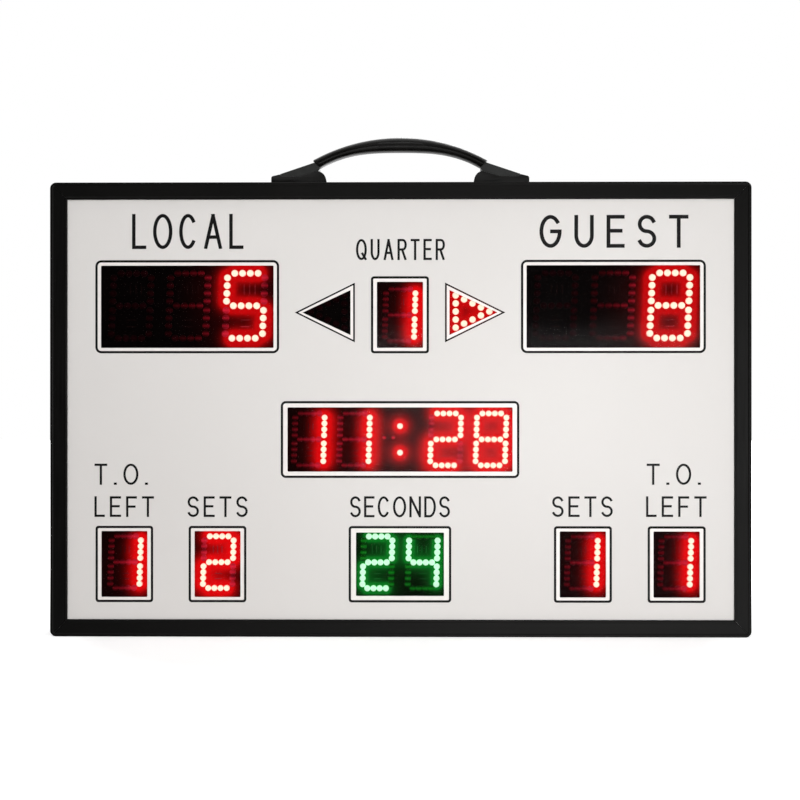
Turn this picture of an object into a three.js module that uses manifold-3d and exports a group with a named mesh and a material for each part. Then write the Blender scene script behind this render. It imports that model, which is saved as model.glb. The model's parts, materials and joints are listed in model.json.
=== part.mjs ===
// A portable electronic scoreboard: LED digits behind a printed face, in a black aluminium frame
// with a carrying handle on top and two fold-out legs behind.
// Millimetres, +Z up. The face looks towards -Y. The origin is the middle of the base.
import * as THREE from "three";
import { mergeGeometries, mergeVertices } from "three/addons/utils/BufferGeometryUtils.js";
import Module from "manifold-3d";

const wasm = await Module();
wasm.setup();

// Frame: four mitred rails of one extruded section
const boardWidth = 700;
const boardHeight = 454;
const boardDepth = 60;
const cornerRadius = 6;
const railWall = 2.4;
const lipWidth = 17.2;
const lipThickness = 2.8;
const outerBead = 2.6;
const innerBead = 2.2;
const channelDepth = 0.8;
const edgeChamfer = 0.7;
const flangeReach = 13;
const flangeThickness = 1.8;
const rearRecess = 10.5;
const mitreGap = 0.1;
const keyLength = 38;
const keyThickness = 2.5;
const keyDepth = 24;

// Face: a printed sheet with openings, and a smoked sheet behind it
const faceThickness = 1.5;
const filterThickness = 2;
const sheetPlay = 0.3;
const runningGap = 0.3;

// LED digits: seven segments of four lamps, leaning a little to the right. All but those of the
// clock and the period sit a little above the middle of their window.
const lampsPerSegment = 4;
const lampSides = 6;
const digitRise = 1.3;
const smallDigit = {
  width: 29.5,
  height: 52,
  columnPitch: 6.2,
  rowPitch: 5.9,
  lampRadius: 2.9,
  lean: 0.032,
  spacing: 45.4,
};
const shotDigitWidth = 28.6;
const largeDigitHeight = 65.2;
const largeRowPitch = 7.8;
const largeLean = 0.044;
const largeLampRadius = 3.4;
const largeWidthShare = 0.2174;
const largeSpacingShare = 0.3307;
const largeColumnShare = 0.2074;
const lampHeight = 4.2;
const lampGap = 1;
const lampSeat = 0.4;
const clockSplit = 91.4;
const colonHeight = 26.6;
const arrowLampPitch = 8.1;
const arrowLampStep = 8.44;
const arrowLampInset = 6.3;

// Windows: clear margins round the digits, and the spaces between neighbouring windows
const scoreMarginTop = 8.6;
const scoreToEdge = 50.65;
const counterMargin = { side: 8.3, top: 7 };
const clockMargin = { side: 6.6, top: 6.1 };
const shotMargin = { side: 6.95, top: 5.7 };
const windowRadius = 1;
const arrowWindowLength = 48;
const arrowWindowHeight = 45;
const arrowRise = 2.3;
const periodToArrow = 26.4;
const arrowToScore = 28.9;
const foulToTimeout = 47.25;
const timeoutToEdge = 51.1;
const lowerMargin = 39.4;
const lowerToClock = 59.5;
const clockToPeriod = 59.5;
const scoreRise = 8.2;

// Circuit boards behind the windows, on three carrier bars
const circuitThickness = 1.6;
const circuitMargin = 4;
const headerWidth = 16;
const headerHeight = 6;
const headerDepth = 5;
const headerInset = 8;
const carrierHeight = 36;
const carrierDepth = 12;
const carrierWall = 1.5;

// Back panel, its vents and what is fixed to it
const backThickness = 1.5;
const ventWidth = 3.2;
const ventHeight = 36;
const ventPitch = 9;
const ventCount = 7;
const ventOffset = 120;
const ventLevel = 345;
const soundInset = 220;
const soundLevel = 90;
const soundHeight = 18;
const soundPitch = 7;
const soundCount = 3;
const postHeight = 5;
const postRadius = 3;
const postInset = 8;
const mainWidth = 180;
const mainHeight = 112;
const mainLevel = 204;
const chipSize = 22;
const chipThickness = 2.4;
const driverLength = 30;
const driverWidth = 11;
const powerWidth = 100;
const powerHeight = 70;
const powerMargin = 130;
const powerLevel = 100;
const capacitorRadius = 7;
const capacitorHeight = 16;
const coilSize = 20;
const coilHeight = 9;
const buzzerRadius = 15;
const buzzerDepth = 9;
const buzzerMouth = 2;
const buzzerMouthDepth = 3;
const ribbonThickness = 1.2;
const ribbonWidth = 14;

// Power inlet and its lead
const connectorInset = 275;
const inletLevel = 62;
const inletRadius = 5.6;
const inletFlange = 7.5;
const inletFlangeThickness = 2;
const inletDepth = 12;
const inletBore = 3.1;
const inletPin = 1;
const inletBoreDepth = 9;
const leadRadius = 1.8;
const leadSag = 12;

// Rocker switch
const switchLevel = 118;
const switchWidth = 15;
const switchHeight = 21;
const switchWall = 1.2;
const bezelOverlap = 1.5;
const bezelThickness = 1.5;
const switchDepth = 12;
const rockerPivotDepth = 3;
const rockerCrown = 3.2;
const rockerTilt = 10;
const rockerSkirt = 4.2;
const rockerFoot = 2.5;
const rockerPlay = 1.2;

// Handle: a steel strap in a moulded grip, held at both ends in moulded sockets
const handleHalf = 130;
const gripInset = 41.4;
const gripSlant = 7.4;
const gripTop = 47.7;
const gripThickness = 14.6;
const gripEndTop = 24.8;
const gripEndBottom = 16.8;
const gripLowerPower = 3;
const gripWidth = 24;
const gripRound = 4;
const gripSteps = 16;
const grooveWidth = 1.6;
const grooveDepth = 1.2;
const strapWidth = 17;
const strapThickness = 1.6;
const strapSteps = 12;
const strapPlay = 0.5;
const tongueGap = 0.4;
const tongueRootTop = 22.2;
const tongueRootBottom = 16;
const kneeInset = 20.2;
const tongueKneeHeight = 9.8;
const tongueMouthTop = 10.6;
const tipThickness = 2;
const tipReach = 4.5;
const handleLift = 2;
const socketWidth = 25;
const socketLength = 56;
const socketFloor = 1.5;
const socketWallTop = 7.8;
const knobHeight = 8.4;
const knobMouthHeight = 9.9;
const knobLength = 8.5;
const knobRound = 2.4;
const noseHeight = 13.2;
const noseLength = 8.5;
const noseCurveShare = 0.85;
const socketArcSteps = 5;
const handleScrewInset = 26;
const handleScrewPitch = 12;

// Fold-out legs
const legInset = 122;
const legHinge = 214;
const legWidth = 18;
const legThickness = 4;
const knuckleRadius = 4;
const pinRadius = 2;
const pinPlay = 0.2;
const pinHeadRadius = 3;
const pinHeadLength = 1.2;
const earThickness = 2;
const bracketPlate = 1.5;
const bracketHeight = 26;
const bracketFoot = 12;
const legClearance = 5;
const tipLength = 20;
const tipWall = 1.6;
const legInsertion = 15;

// Screws
const screwRadius = 1.5;
const screwHole = 1.8;
const screwHeadRadius = 3;
const screwHeadHeight = 1.4;
const screwCrownShare = 0.7;
const screwGrip = 5;
const screwSides = 8;
const panelScrewInset = 8;
const panelScrewMargin = 40;

// Faceting, and how far a cutter runs past the face it cuts
const arcSteps = 2;
const roundSides = 12;
const cordSides = 6;
const cordSteps = 10;
const overrun = 1;

// Places along X, measured in from the sides of the board or the ends of the handle
const legOffset = boardWidth / 2 - legInset;
const soundOffset = boardWidth / 2 - soundInset;
const powerOffset = powerMargin + powerWidth / 2 - boardWidth / 2;
const connectorOffset = connectorInset - boardWidth / 2;
const gripHalfTop = handleHalf - gripInset;
const gripHalfBottom = gripHalfTop - gripSlant;
const pocketMouth = handleHalf - knobLength;
const tongueKnee = pocketMouth - kneeInset;
const socketInner = handleHalf - socketLength;

// Depths along Y, from the front of the frame to its back
const front = -boardDepth / 2;
const back = boardDepth / 2;
const faceFront = front + lipThickness;
const faceBack = faceFront + faceThickness;
const filterBack = faceBack + filterThickness;
const webFront = lipThickness + faceThickness + filterThickness + sheetPlay;
const webBack = webFront + flangeThickness;
const lampTip = filterBack + lampGap;
const circuitFront = lampTip + lampHeight;
const circuitBack = circuitFront + circuitThickness;
const panelBack = back - rearRecess;
const panelFront = panelBack - backThickness;
const ledgeBack = boardDepth - rearRecess - backThickness;
const ledgeFront = ledgeBack - flangeThickness;

const axisX = new THREE.Vector3(1, 0, 0);
const axisY = new THREE.Vector3(0, 1, 0);
const axisZ = new THREE.Vector3(0, 0, 1);
const quarterTurn = Math.PI / 2;

// Solids: joining and cutting closed meshes
function solidOf(geometry) {
  const bare = geometry.clone();
  bare.deleteAttribute("normal");
  bare.deleteAttribute("uv");
  const merged = mergeVertices(bare);
  const vertProperties = merged.getAttribute("position").array;
  const triVerts = new Uint32Array(merged.index.array);
  return new wasm.Manifold(new wasm.Mesh({ numProp: 3, vertProperties, triVerts }));
}

function geometryOf(solid) {
  const mesh = solid.getMesh();
  const geometry = new THREE.BufferGeometry();
  geometry.setAttribute("position", new THREE.BufferAttribute(mesh.vertProperties, mesh.numProp));
  geometry.setIndex(new THREE.BufferAttribute(mesh.triVerts, 1));
  geometry.computeVertexNormals();
  return geometry;
}

function joined(...geometries) {
  return geometryOf(geometries.map(solidOf).reduce((whole, piece) => whole.add(piece)));
}

function cut(geometry, ...cutters) {
  const whole = solidOf(geometry);
  return geometryOf(cutters.map(solidOf).reduce((rest, cutter) => rest.subtract(cutter), whole));
}

function common(geometry, other) {
  return geometryOf(solidOf(geometry).intersect(solidOf(other)));
}

// Basic forms
function block(low, high) {
  const size = high.map((value, axis) => value - low[axis]);
  const middle = high.map((value, axis) => (value + low[axis]) / 2);
  return new THREE.BoxGeometry(...size).translate(...middle);
}

// An outline in X and Z, thick along Y
function plate(shape, yFront, yBack, bevel = {}) {
  const options = { depth: yBack - yFront, bevelEnabled: false, curveSegments: arcSteps, ...bevel };
  const geometry = new THREE.ExtrudeGeometry(shape, options);
  geometry.applyMatrix4(new THREE.Matrix4().makeBasis(axisX, axisZ, axisY.clone().negate()));
  return geometry.translate(0, yBack, 0);
}

// An outline in Y and Z, drawn out along X
function drawnAlongX(shape, xLow, xHigh) {
  const options = { depth: xHigh - xLow, bevelEnabled: false, curveSegments: arcSteps };
  const geometry = new THREE.ExtrudeGeometry(shape, options);
  geometry.applyMatrix4(new THREE.Matrix4().makeBasis(axisY, axisZ, axisX));
  return geometry.translate(xLow, 0, 0);
}

// A pointed lamp along -Y
function lamp(radius, x, z) {
  const base = circuitFront + lampSeat;
  const geometry = new THREE.CylinderGeometry(radius, 0, base - lampTip, lampSides);
  return geometry.translate(x, (lampTip + base) / 2, z);
}

// A round peg along Y
function peg(radius, yFront, yBack, x, z, sides = roundSides) {
  const geometry = new THREE.CylinderGeometry(radius, radius, yBack - yFront, sides);
  return geometry.translate(x, (yFront + yBack) / 2, z);
}

function shapeOf(points) {
  return new THREE.Shape(points.map(([x, y]) => new THREE.Vector2(x, y)));
}

function roundedRectangle(width, height, radius, x = 0, z = 0) {
  const right = x + width / 2;
  const left = x - width / 2;
  const top = z + height / 2;
  const bottom = z - height / 2;
  const shape = new THREE.Shape();
  shape.absarc(right - radius, top - radius, radius, 0, quarterTurn);
  shape.absarc(left + radius, top - radius, radius, quarterTurn, 2 * quarterTurn);
  shape.absarc(left + radius, bottom + radius, radius, 2 * quarterTurn, 3 * quarterTurn);
  shape.absarc(right - radius, bottom + radius, radius, 3 * quarterTurn, 4 * quarterTurn);
  return shape;
}

const root = new THREE.Group();

function paint(color, roughness, metalness) {
  return new THREE.MeshStandardMaterial({ color, roughness, metalness });
}

function smoked(color, roughness) {
  return new THREE.MeshStandardMaterial({ color, roughness, transparent: true, opacity: 0.4 });
}

const paints = {
  frame: () => paint(0x161514, 0.45, 0.6),
  key: () => paint(0x8f9194, 0.5, 0.8),
  face: () => paint(0xdedad5, 0.35, 0),
  filter: () => smoked(0x1a0f10, 0.1),
  circuit: () => paint(0x120e10, 0.6, 0),
  carrier: () => paint(0x9a9c9f, 0.45, 0.8),
  panel: () => paint(0x1b1b1c, 0.6, 0.3),
  logic: () => paint(0x1f5a34, 0.55, 0.1),
  plastic: () => paint(0x131313, 0.5, 0),
  ribbon: () => paint(0x8c8c90, 0.6, 0),
  grip: () => paint(0x171615, 0.6, 0),
  steel: () => paint(0xa8a9ab, 0.35, 0.9),
  rubber: () => paint(0x0f0f0f, 0.85, 0),
};

function add(name, geometry, colour, parent = root) {
  const mesh = new THREE.Mesh(geometry, paints[colour]());
  mesh.name = name;
  parent.add(mesh);
  return mesh;
}

// Rails
function railSection() {
  return shapeOf([
    [edgeChamfer, 0],
    [outerBead, 0],
    [outerBead + channelDepth, channelDepth],
    [lipWidth - innerBead - channelDepth, channelDepth],
    [lipWidth - innerBead, 0],
    [lipWidth - edgeChamfer, 0],
    [lipWidth, edgeChamfer],
    [lipWidth, lipThickness],
    [railWall, lipThickness],
    [railWall, webFront],
    [flangeReach, webFront],
    [flangeReach, webBack],
    [railWall, webBack],
    [railWall, ledgeFront],
    [flangeReach, ledgeFront],
    [flangeReach, ledgeBack],
    [railWall, ledgeBack],
    [railWall, boardDepth],
    [edgeChamfer, boardDepth],
    [0, boardDepth - edgeChamfer],
    [0, edgeChamfer],
  ]);
}

// A rail along X with its outer face down, both ends mitred and the outer corners rounded
function rail(length) {
  const geometry = new THREE.ExtrudeGeometry(railSection(), { depth: length, bevelEnabled: false });
  const position = geometry.getAttribute("position");
  for (let i = 0; i < position.count; i++) {
    const inward = position.getX(i);
    const side = position.getZ(i) > 0 ? -1 : 1;
    position.setXYZ(i, side * (length / 2 - inward - mitreGap), front + position.getY(i), inward);
  }
  const outline = roundedRectangle(length, length, cornerRadius, 0, length / 2);
  return common(geometry, plate(outline, front - overrun, back + overrun));
}

function panelScrewLevels() {
  const reach = boardHeight / 2 - panelScrewMargin;
  return [-reach, 0, reach];
}

function handleScrewPlaces() {
  const outer = handleHalf - handleScrewInset;
  return [outer - handleScrewPitch, outer];
}

function topRail() {
  const places = handleScrewPlaces().flatMap((x) => [-x, x]);
  const holes = places.map((x) => standing(screwHole, -overrun, railWall + overrun, x));
  return cut(rail(boardWidth), ...holes);
}

function sideRail() {
  const yFront = front + ledgeFront - overrun;
  const yBack = front + ledgeBack + overrun;
  const holes = panelScrewLevels().map((x) => peg(screwHole, yFront, yBack, x, panelScrewInset, screwSides));
  return cut(rail(boardHeight), ...holes);
}

// A round peg along Z
function standing(radius, zLow, zHigh, x, sides = screwSides) {
  const geometry = new THREE.CylinderGeometry(radius, radius, zHigh - zLow, sides).rotateX(quarterTurn);
  return geometry.translate(x, 0, (zLow + zHigh) / 2);
}

function buildFrame() {
  add("rail_bottom", rail(boardWidth), "frame");
  const top = add("rail_top", topRail(), "frame");
  top.rotation.y = 2 * quarterTurn;
  top.position.z = boardHeight;
  const left = add("rail_left", sideRail(), "frame");
  left.rotation.y = quarterTurn;
  left.position.set(-boardWidth / 2, 0, boardHeight / 2);
  const right = add("rail_right", sideRail(), "frame");
  right.rotation.y = -quarterTurn;
  right.position.set(boardWidth / 2, 0, boardHeight / 2);
}

// Corner keys: angles that join the rails inside
function cornerKey(sideX, sideZ) {
  const outer = railWall + runningGap;
  const inner = outer + keyThickness;
  const end = outer + keyLength;
  const shape = shapeOf([
    [outer, outer],
    [end, outer],
    [end, inner],
    [inner + keyThickness, inner],
    [inner, inner + keyThickness],
    [inner, end],
    [outer, end],
  ].map(([x, z]) => [sideX * (boardWidth / 2 - x), sideZ > 0 ? boardHeight - z : z]));
  const middle = front + (webBack + ledgeFront) / 2;
  return plate(shape, middle - keyDepth / 2, middle + keyDepth / 2);
}

function buildKeys() {
  for (const [sideName, sideX] of [["left", -1], ["right", 1]]) {
    add("corner_key_bottom_" + sideName, cornerKey(sideX, -1), "key");
    add("corner_key_top_" + sideName, cornerKey(sideX, 1), "key");
  }
}

// Displays: what each window shows, and where it lies
function digitRow(digit, count) {
  return Array.from({ length: count }, (_, i) => (i - (count - 1) / 2) * digit.spacing);
}

// A display in the middle of the board: its window, its digits' rise in it and its carrier bar's level
function display(name, digit, margin, centres, z, rise) {
  const width = 2 * Math.max(...centres) + digit.width + 2 * margin.side;
  return { name, digit, centres, rise, bar: z, x: 0, z, width, height: digit.height + 2 * margin.top };
}

const clockInner = clockSplit / 2;
const clockOuter = clockInner + smallDigit.spacing;
const clockCentres = [-clockOuter, -clockInner, clockInner, clockOuter];
const counterHeight = smallDigit.height + 2 * counterMargin.top;
const lowerLevel = lowerMargin + counterHeight / 2;
const clockHeight = smallDigit.height + 2 * clockMargin.top;
const clockLevel = lowerLevel + (counterHeight + clockHeight) / 2 + lowerToClock;
const periodLevel = clockLevel + (clockHeight + counterHeight) / 2 + clockToPeriod;

const period = display("period", smallDigit, counterMargin, digitRow(smallDigit, 1), periodLevel, 0);
const clock = display("clock", smallDigit, clockMargin, clockCentres, clockLevel, 0);
const shotDigit = { ...smallDigit, width: shotDigitWidth };
const shot = display("shot_clock", shotDigit, shotMargin, digitRow(shotDigit, 2), lowerLevel, digitRise);

const arrowLevel = periodLevel + arrowRise;

// A score window fills the space between an arrow and the margin at the board's side
const arrowBase = period.width / 2 + periodToArrow;
const scoreInner = arrowBase + arrowWindowLength + arrowToScore;
const scoreWidth = boardWidth / 2 - scoreToEdge - scoreInner;
const largeDigit = {
  width: largeWidthShare * scoreWidth,
  height: largeDigitHeight,
  columnPitch: largeColumnShare * largeWidthShare * scoreWidth,
  rowPitch: largeRowPitch,
  lampRadius: largeLampRadius,
  lean: largeLean,
  spacing: largeSpacingShare * scoreWidth,
};

function scoreDisplay(suffix, side) {
  return {
    name: "score_" + suffix,
    digit: largeDigit,
    centres: digitRow(largeDigit, 3),
    rise: digitRise,
    bar: periodLevel,
    z: periodLevel + scoreRise,
    x: side * (scoreInner + scoreWidth / 2),
    width: scoreWidth,
    height: largeDigitHeight + 2 * scoreMarginTop,
  };
}

function counter(name, x) {
  const made = display(name, smallDigit, counterMargin, digitRow(smallDigit, 1), lowerLevel, digitRise);
  return { ...made, x };
}

const timeoutOffset = boardWidth / 2 - timeoutToEdge - period.width / 2;
const foulOffset = timeoutOffset - period.width - foulToTimeout;

const displays = [period, clock, shot];
for (const [suffix, side] of [["left", -1], ["right", 1]]) {
  displays.push(scoreDisplay(suffix, side));
  displays.push(counter("foul_" + suffix, side * foulOffset));
  displays.push(counter("timeout_" + suffix, side * timeoutOffset));
}

// The triangle of an arrow window, pointing away from the middle
function arrowOutline(side) {
  const tip = arrowBase + arrowWindowLength;
  return [
    [side * arrowBase, arrowLevel - arrowWindowHeight / 2],
    [side * tip, arrowLevel],
    [side * arrowBase, arrowLevel + arrowWindowHeight / 2],
  ];
}

// Face and filter
const sheetWidth = boardWidth - 2 * (railWall + runningGap);
const sheetHeight = boardHeight - 2 * (railWall + runningGap);

function facePanel() {
  const shape = roundedRectangle(sheetWidth, sheetHeight, cornerRadius - railWall, 0, boardHeight / 2);
  for (const { x, z, width, height } of displays) {
    shape.holes.push(roundedRectangle(width, height, windowRadius, x, z));
  }
  for (const side of [-1, 1]) {
    shape.holes.push(shapeOf(arrowOutline(side)));
  }
  return plate(shape, faceFront, faceBack);
}

function buildFace() {
  const outline = roundedRectangle(sheetWidth, sheetHeight, cornerRadius - railWall, 0, boardHeight / 2);
  add("face_panel", facePanel(), "face");
  add("filter_sheet", plate(outline, faceBack, filterBack), "filter");
}

// Lamps of one digit: three rows across and two columns of two segments
function spread(pitch) {
  return Array.from({ length: lampsPerSegment }, (_, i) => (i - (lampsPerSegment - 1) / 2) * pitch);
}

function digitLamps(digit, centre) {
  const lamps = [];
  for (const level of [-digit.height / 2, 0, digit.height / 2]) {
    spread(digit.columnPitch).forEach((across) => lamps.push([across, level]));
  }
  for (const side of [-digit.width / 2, digit.width / 2]) {
    for (const level of [-digit.height / 4, digit.height / 4]) {
      spread(digit.rowPitch).forEach((up) => lamps.push([side, level + up]));
    }
  }
  return lamps.map(([x, z]) => [centre + x + digit.lean * z, z]);
}

function arrowLamps(side) {
  const column = [-2, -1, 0, 1, 2].map((step) => [0, step * arrowLampPitch]);
  const slants = [1, 2, 3].flatMap((step) => {
    const height = 2 * arrowLampPitch * (1 - step / 4);
    return [[step * arrowLampStep, height], [step * arrowLampStep, -height]];
  });
  const lamps = [...column, ...slants, [4 * arrowLampStep, 0]];
  return lamps.map(([x, z]) => [side * (arrowBase + arrowLampInset + x), z]);
}

// A circuit board with its lamps towards the front and a plug header behind, under its carrier bar
function circuit({ x, z, width, height, bar, rise }, lamps, lampRadius) {
  const reachX = width / 2 + circuitMargin;
  const reachZ = height / 2 + circuitMargin;
  const low = [x - reachX, circuitFront, z - reachZ];
  const high = [x + reachX, circuitBack, z + reachZ];
  const domes = lamps.map(([lampX, lampZ]) => lamp(lampRadius, x + lampX, z + rise + lampZ));
  const headerLevel = headerUnder(bar);
  const header = block(
    [x - headerWidth / 2, circuitBack - lampSeat, headerLevel - headerHeight / 2],
    [x + headerWidth / 2, circuitBack + headerDepth, headerLevel + headerHeight / 2],
  );
  return joined(block(low, high), mergeGeometries(domes), header);
}

function headerUnder(bar) {
  return bar - carrierHeight / 2 - runningGap - headerHeight / 2;
}

function displayCircuit(shown) {
  const { digit } = shown;
  const lamps = shown.centres.flatMap((centre) => digitLamps(digit, centre));
  if (shown === clock) {
    lamps.push([0, colonHeight / 2], [0, -colonHeight / 2]);
  }
  return circuit(shown, lamps, digit.lampRadius);
}

function arrowCircuit(side) {
  const x = side * (arrowBase + arrowWindowLength / 2);
  const lamps = arrowLamps(side).map(([lampX, lampZ]) => [lampX - x, lampZ]);
  const window = { x, z: arrowLevel, width: arrowWindowLength, height: arrowWindowHeight };
  return circuit({ ...window, bar: periodLevel, rise: digitRise }, lamps, smallDigit.lampRadius);
}

function buildCircuits() {
  for (const shown of displays) {
    add("led_board_" + shown.name, displayCircuit(shown), "circuit");
  }
  add("led_board_arrow_left", arrowCircuit(-1), "circuit");
  add("led_board_arrow_right", arrowCircuit(1), "circuit");
}

// Carrier bars: channels between the side rails that hold the circuit boards
function carrier(level) {
  const low = level - carrierHeight / 2;
  const high = level + carrierHeight / 2;
  const yBack = circuitBack + carrierDepth;
  const reach = boardWidth / 2 - railWall - runningGap;
  const section = shapeOf([
    [circuitBack, low],
    [yBack, low],
    [yBack, low + carrierWall],
    [circuitBack + carrierWall, low + carrierWall],
    [circuitBack + carrierWall, high - carrierWall],
    [yBack, high - carrierWall],
    [yBack, high],
    [circuitBack, high],
  ]);
  return drawnAlongX(section, -reach, reach);
}

function buildCarriers() {
  add("carrier_bar_upper", carrier(periodLevel), "carrier");
  add("carrier_bar_middle", carrier(clockLevel), "carrier");
  add("carrier_bar_lower", carrier(lowerLevel), "carrier");
}

// Back panel with vents, sound slots and the cut-outs for inlet and switch
function slots(centre, level, count, pitch, height) {
  return Array.from({ length: count }, (_, i) => {
    const x = centre + (i - (count - 1) / 2) * pitch;
    return block(
      [x - ventWidth / 2, panelFront - overrun, level - height / 2],
      [x + ventWidth / 2, panelBack + overrun, level + height / 2],
    );
  });
}

function backPanel() {
  const outline = roundedRectangle(sheetWidth, sheetHeight, cornerRadius - railWall, 0, boardHeight / 2);
  const screwX = boardWidth / 2 - panelScrewInset;
  const yFront = panelFront - overrun;
  const yBack = panelBack + overrun;
  const screwHoles = panelScrewLevels().flatMap((level) =>
    [-screwX, screwX].map((x) => peg(screwHole, yFront, yBack, x, boardHeight / 2 + level, screwSides)));
  const inletHole = peg(inletRadius + runningGap, yFront, yBack, connectorOffset, inletLevel);
  const switchHole = block(
    [connectorOffset - switchBody / 2 - runningGap, yFront, switchLevel - switchBodyHeight / 2 - runningGap],
    [connectorOffset + switchBody / 2 + runningGap, yBack, switchLevel + switchBodyHeight / 2 + runningGap],
  );
  const vents = [-ventOffset, ventOffset].flatMap((x) =>
    slots(x, ventLevel, ventCount, ventPitch, ventHeight));
  const sound = slots(soundOffset, soundLevel, soundCount, soundPitch, soundHeight);
  return cut(plate(outline, panelFront, panelBack), ...screwHoles, inletHole, switchHole, ...vents, ...sound);
}

// A circuit board on four posts inside the back panel
const logicBack = panelFront - postHeight;
const logicFront = logicBack - circuitThickness;

function postedBoard(x, z, width, height, parts) {
  const low = [x - width / 2, logicFront, z - height / 2];
  const board = block(low, [x + width / 2, logicBack, z + height / 2]);
  const posts = [-1, 1].flatMap((sideX) => [-1, 1].map((sideZ) => {
    const postX = x + sideX * (width / 2 - postInset);
    const postZ = z + sideZ * (height / 2 - postInset);
    return peg(postRadius, logicBack - lampSeat, panelFront, postX, postZ, cordSides);
  }));
  return joined(board, ...posts, ...parts);
}

// A block part on the front of a posted board
function component(x, z, width, height, depth) {
  return block(
    [x - width / 2, logicFront - depth, z - height / 2],
    [x + width / 2, logicFront + lampSeat, z + height / 2],
  );
}

// The main board's three headers, one for each row of displays
const upperHeader = mainLevel + mainHeight / 2 - headerInset;
const lowerHeader = mainLevel - mainHeight / 2 + headerInset;
const middleHeader = lowerHeader + headerInset + headerHeight;

function mainBoard() {
  const headers = [upperHeader, middleHeader, lowerHeader].map((level) =>
    component(0, level, headerWidth, headerHeight, headerDepth));
  const chip = component(-mainWidth / 4, mainLevel, chipSize, chipSize, chipThickness);
  const drivers = [-1, 0, 1].map((step) => {
    const z = mainLevel + 2 * step * driverWidth;
    return component(mainWidth / 4, z, driverLength, driverWidth, chipThickness);
  });
  return postedBoard(0, mainLevel, mainWidth, mainHeight, [...headers, chip, ...drivers]);
}

function powerBoard() {
  const capacitors = [-1, 1].map((side) => {
    const z = powerLevel + side * powerHeight / 4;
    const x = powerOffset - powerWidth / 4;
    return peg(capacitorRadius, logicFront - capacitorHeight, logicFront + lampSeat, x, z);
  });
  const coil = component(powerOffset + powerWidth / 4, powerLevel, coilSize, coilSize, coilHeight);
  return postedBoard(powerOffset, powerLevel, powerWidth, powerHeight, [...capacitors, coil]);
}

// A revolved profile with its axis along Y, given from front to back
function turned(points, x, z, sides = roundSides) {
  const profile = points.map(([radius, y]) => new THREE.Vector2(radius, y));
  return new THREE.LatheGeometry(profile, sides).translate(x, 0, z);
}

function buzzer() {
  const yFront = panelFront - buzzerDepth;
  const recess = panelFront - buzzerMouthDepth;
  return turned([
    [0, yFront],
    [buzzerRadius - edgeChamfer, yFront],
    [buzzerRadius, yFront + edgeChamfer],
    [buzzerRadius, panelFront],
    [buzzerMouth, panelFront],
    [buzzerMouth, recess],
    [0, recess],
  ], soundOffset, soundLevel);
}

const inletFront = panelFront - inletDepth;

function inlet() {
  const yBack = panelBack + inletFlangeThickness;
  const bottom = yBack - inletBoreDepth;
  return turned([
    [0, inletFront],
    [inletRadius, inletFront],
    [inletRadius, panelBack],
    [inletFlange, panelBack],
    [inletFlange, yBack - edgeChamfer],
    [inletFlange - edgeChamfer, yBack],
    [inletBore, yBack],
    [inletBore, bottom],
    [inletPin, bottom],
    [inletPin, yBack - edgeChamfer],
    [0, yBack - edgeChamfer],
  ], connectorOffset, inletLevel);
}

// The lead from the inlet to the power board, in a shallow sag
function powerLead() {
  const endX = powerOffset + powerWidth / 2 - postInset * 2;
  const endZ = powerLevel - powerHeight / 4;
  const startY = inletFront - runningGap;
  const endY = logicFront - runningGap;
  const path = new THREE.CubicBezierCurve3(
    new THREE.Vector3(connectorOffset, startY, inletLevel),
    new THREE.Vector3(connectorOffset, startY - 2 * leadSag, inletLevel),
    new THREE.Vector3(endX, endY - 2 * leadSag, endZ),
    new THREE.Vector3(endX, endY, endZ),
  );
  const section = new THREE.Shape().absarc(0, 0, leadRadius, 0, 4 * quarterTurn);
  return new THREE.ExtrudeGeometry(section, {
    steps: cordSteps,
    curveSegments: cordSides / 2,
    bevelEnabled: false,
    extrudePath: path,
  });
}

// A ribbon cable from the main board's header to a display's header, in one step up or down
function ribbon(fromZ, toZ) {
  const start = logicFront - headerDepth - runningGap;
  const end = circuitBack + headerDepth + runningGap;
  const middle = circuitBack + carrierDepth + (start - circuitBack - carrierDepth) / 2;
  const thin = ribbonThickness / 2;
  const rise = Math.sign(toZ - fromZ) * thin;
  const outline = shapeOf([
    [start, fromZ - rise],
    [middle - thin, fromZ - rise],
    [middle - thin, toZ - rise],
    [end, toZ - rise],
    [end, toZ + rise],
    [middle + thin, toZ + rise],
    [middle + thin, fromZ + rise],
    [start, fromZ + rise],
  ]);
  return drawnAlongX(outline, -ribbonWidth / 2, ribbonWidth / 2);
}

// Rocker switch
const switchBody = switchWidth - 2 * bezelOverlap;
const switchBodyHeight = switchHeight - 2 * bezelOverlap;
const rockerPivot = panelBack + bezelThickness - rockerPivotDepth;

function switchHousing() {
  const yFront = panelBack - switchDepth;
  const yBack = panelBack + bezelThickness;
  const left = connectorOffset - switchBody / 2;
  const right = connectorOffset + switchBody / 2;
  const low = switchLevel - switchBodyHeight / 2;
  const high = switchLevel + switchBodyHeight / 2;
  const body = block([left, yFront, low], [right, panelBack, high]);
  const bezel = plate(
    roundedRectangle(switchWidth, switchHeight, bezelOverlap, connectorOffset, switchLevel),
    panelBack,
    yBack,
  );
  const well = block(
    [left + switchWall, yFront + switchWall, low + switchWall],
    [right - switchWall, yBack + overrun, high - switchWall],
  );
  return cut(joined(body, bezel), well);
}

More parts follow.
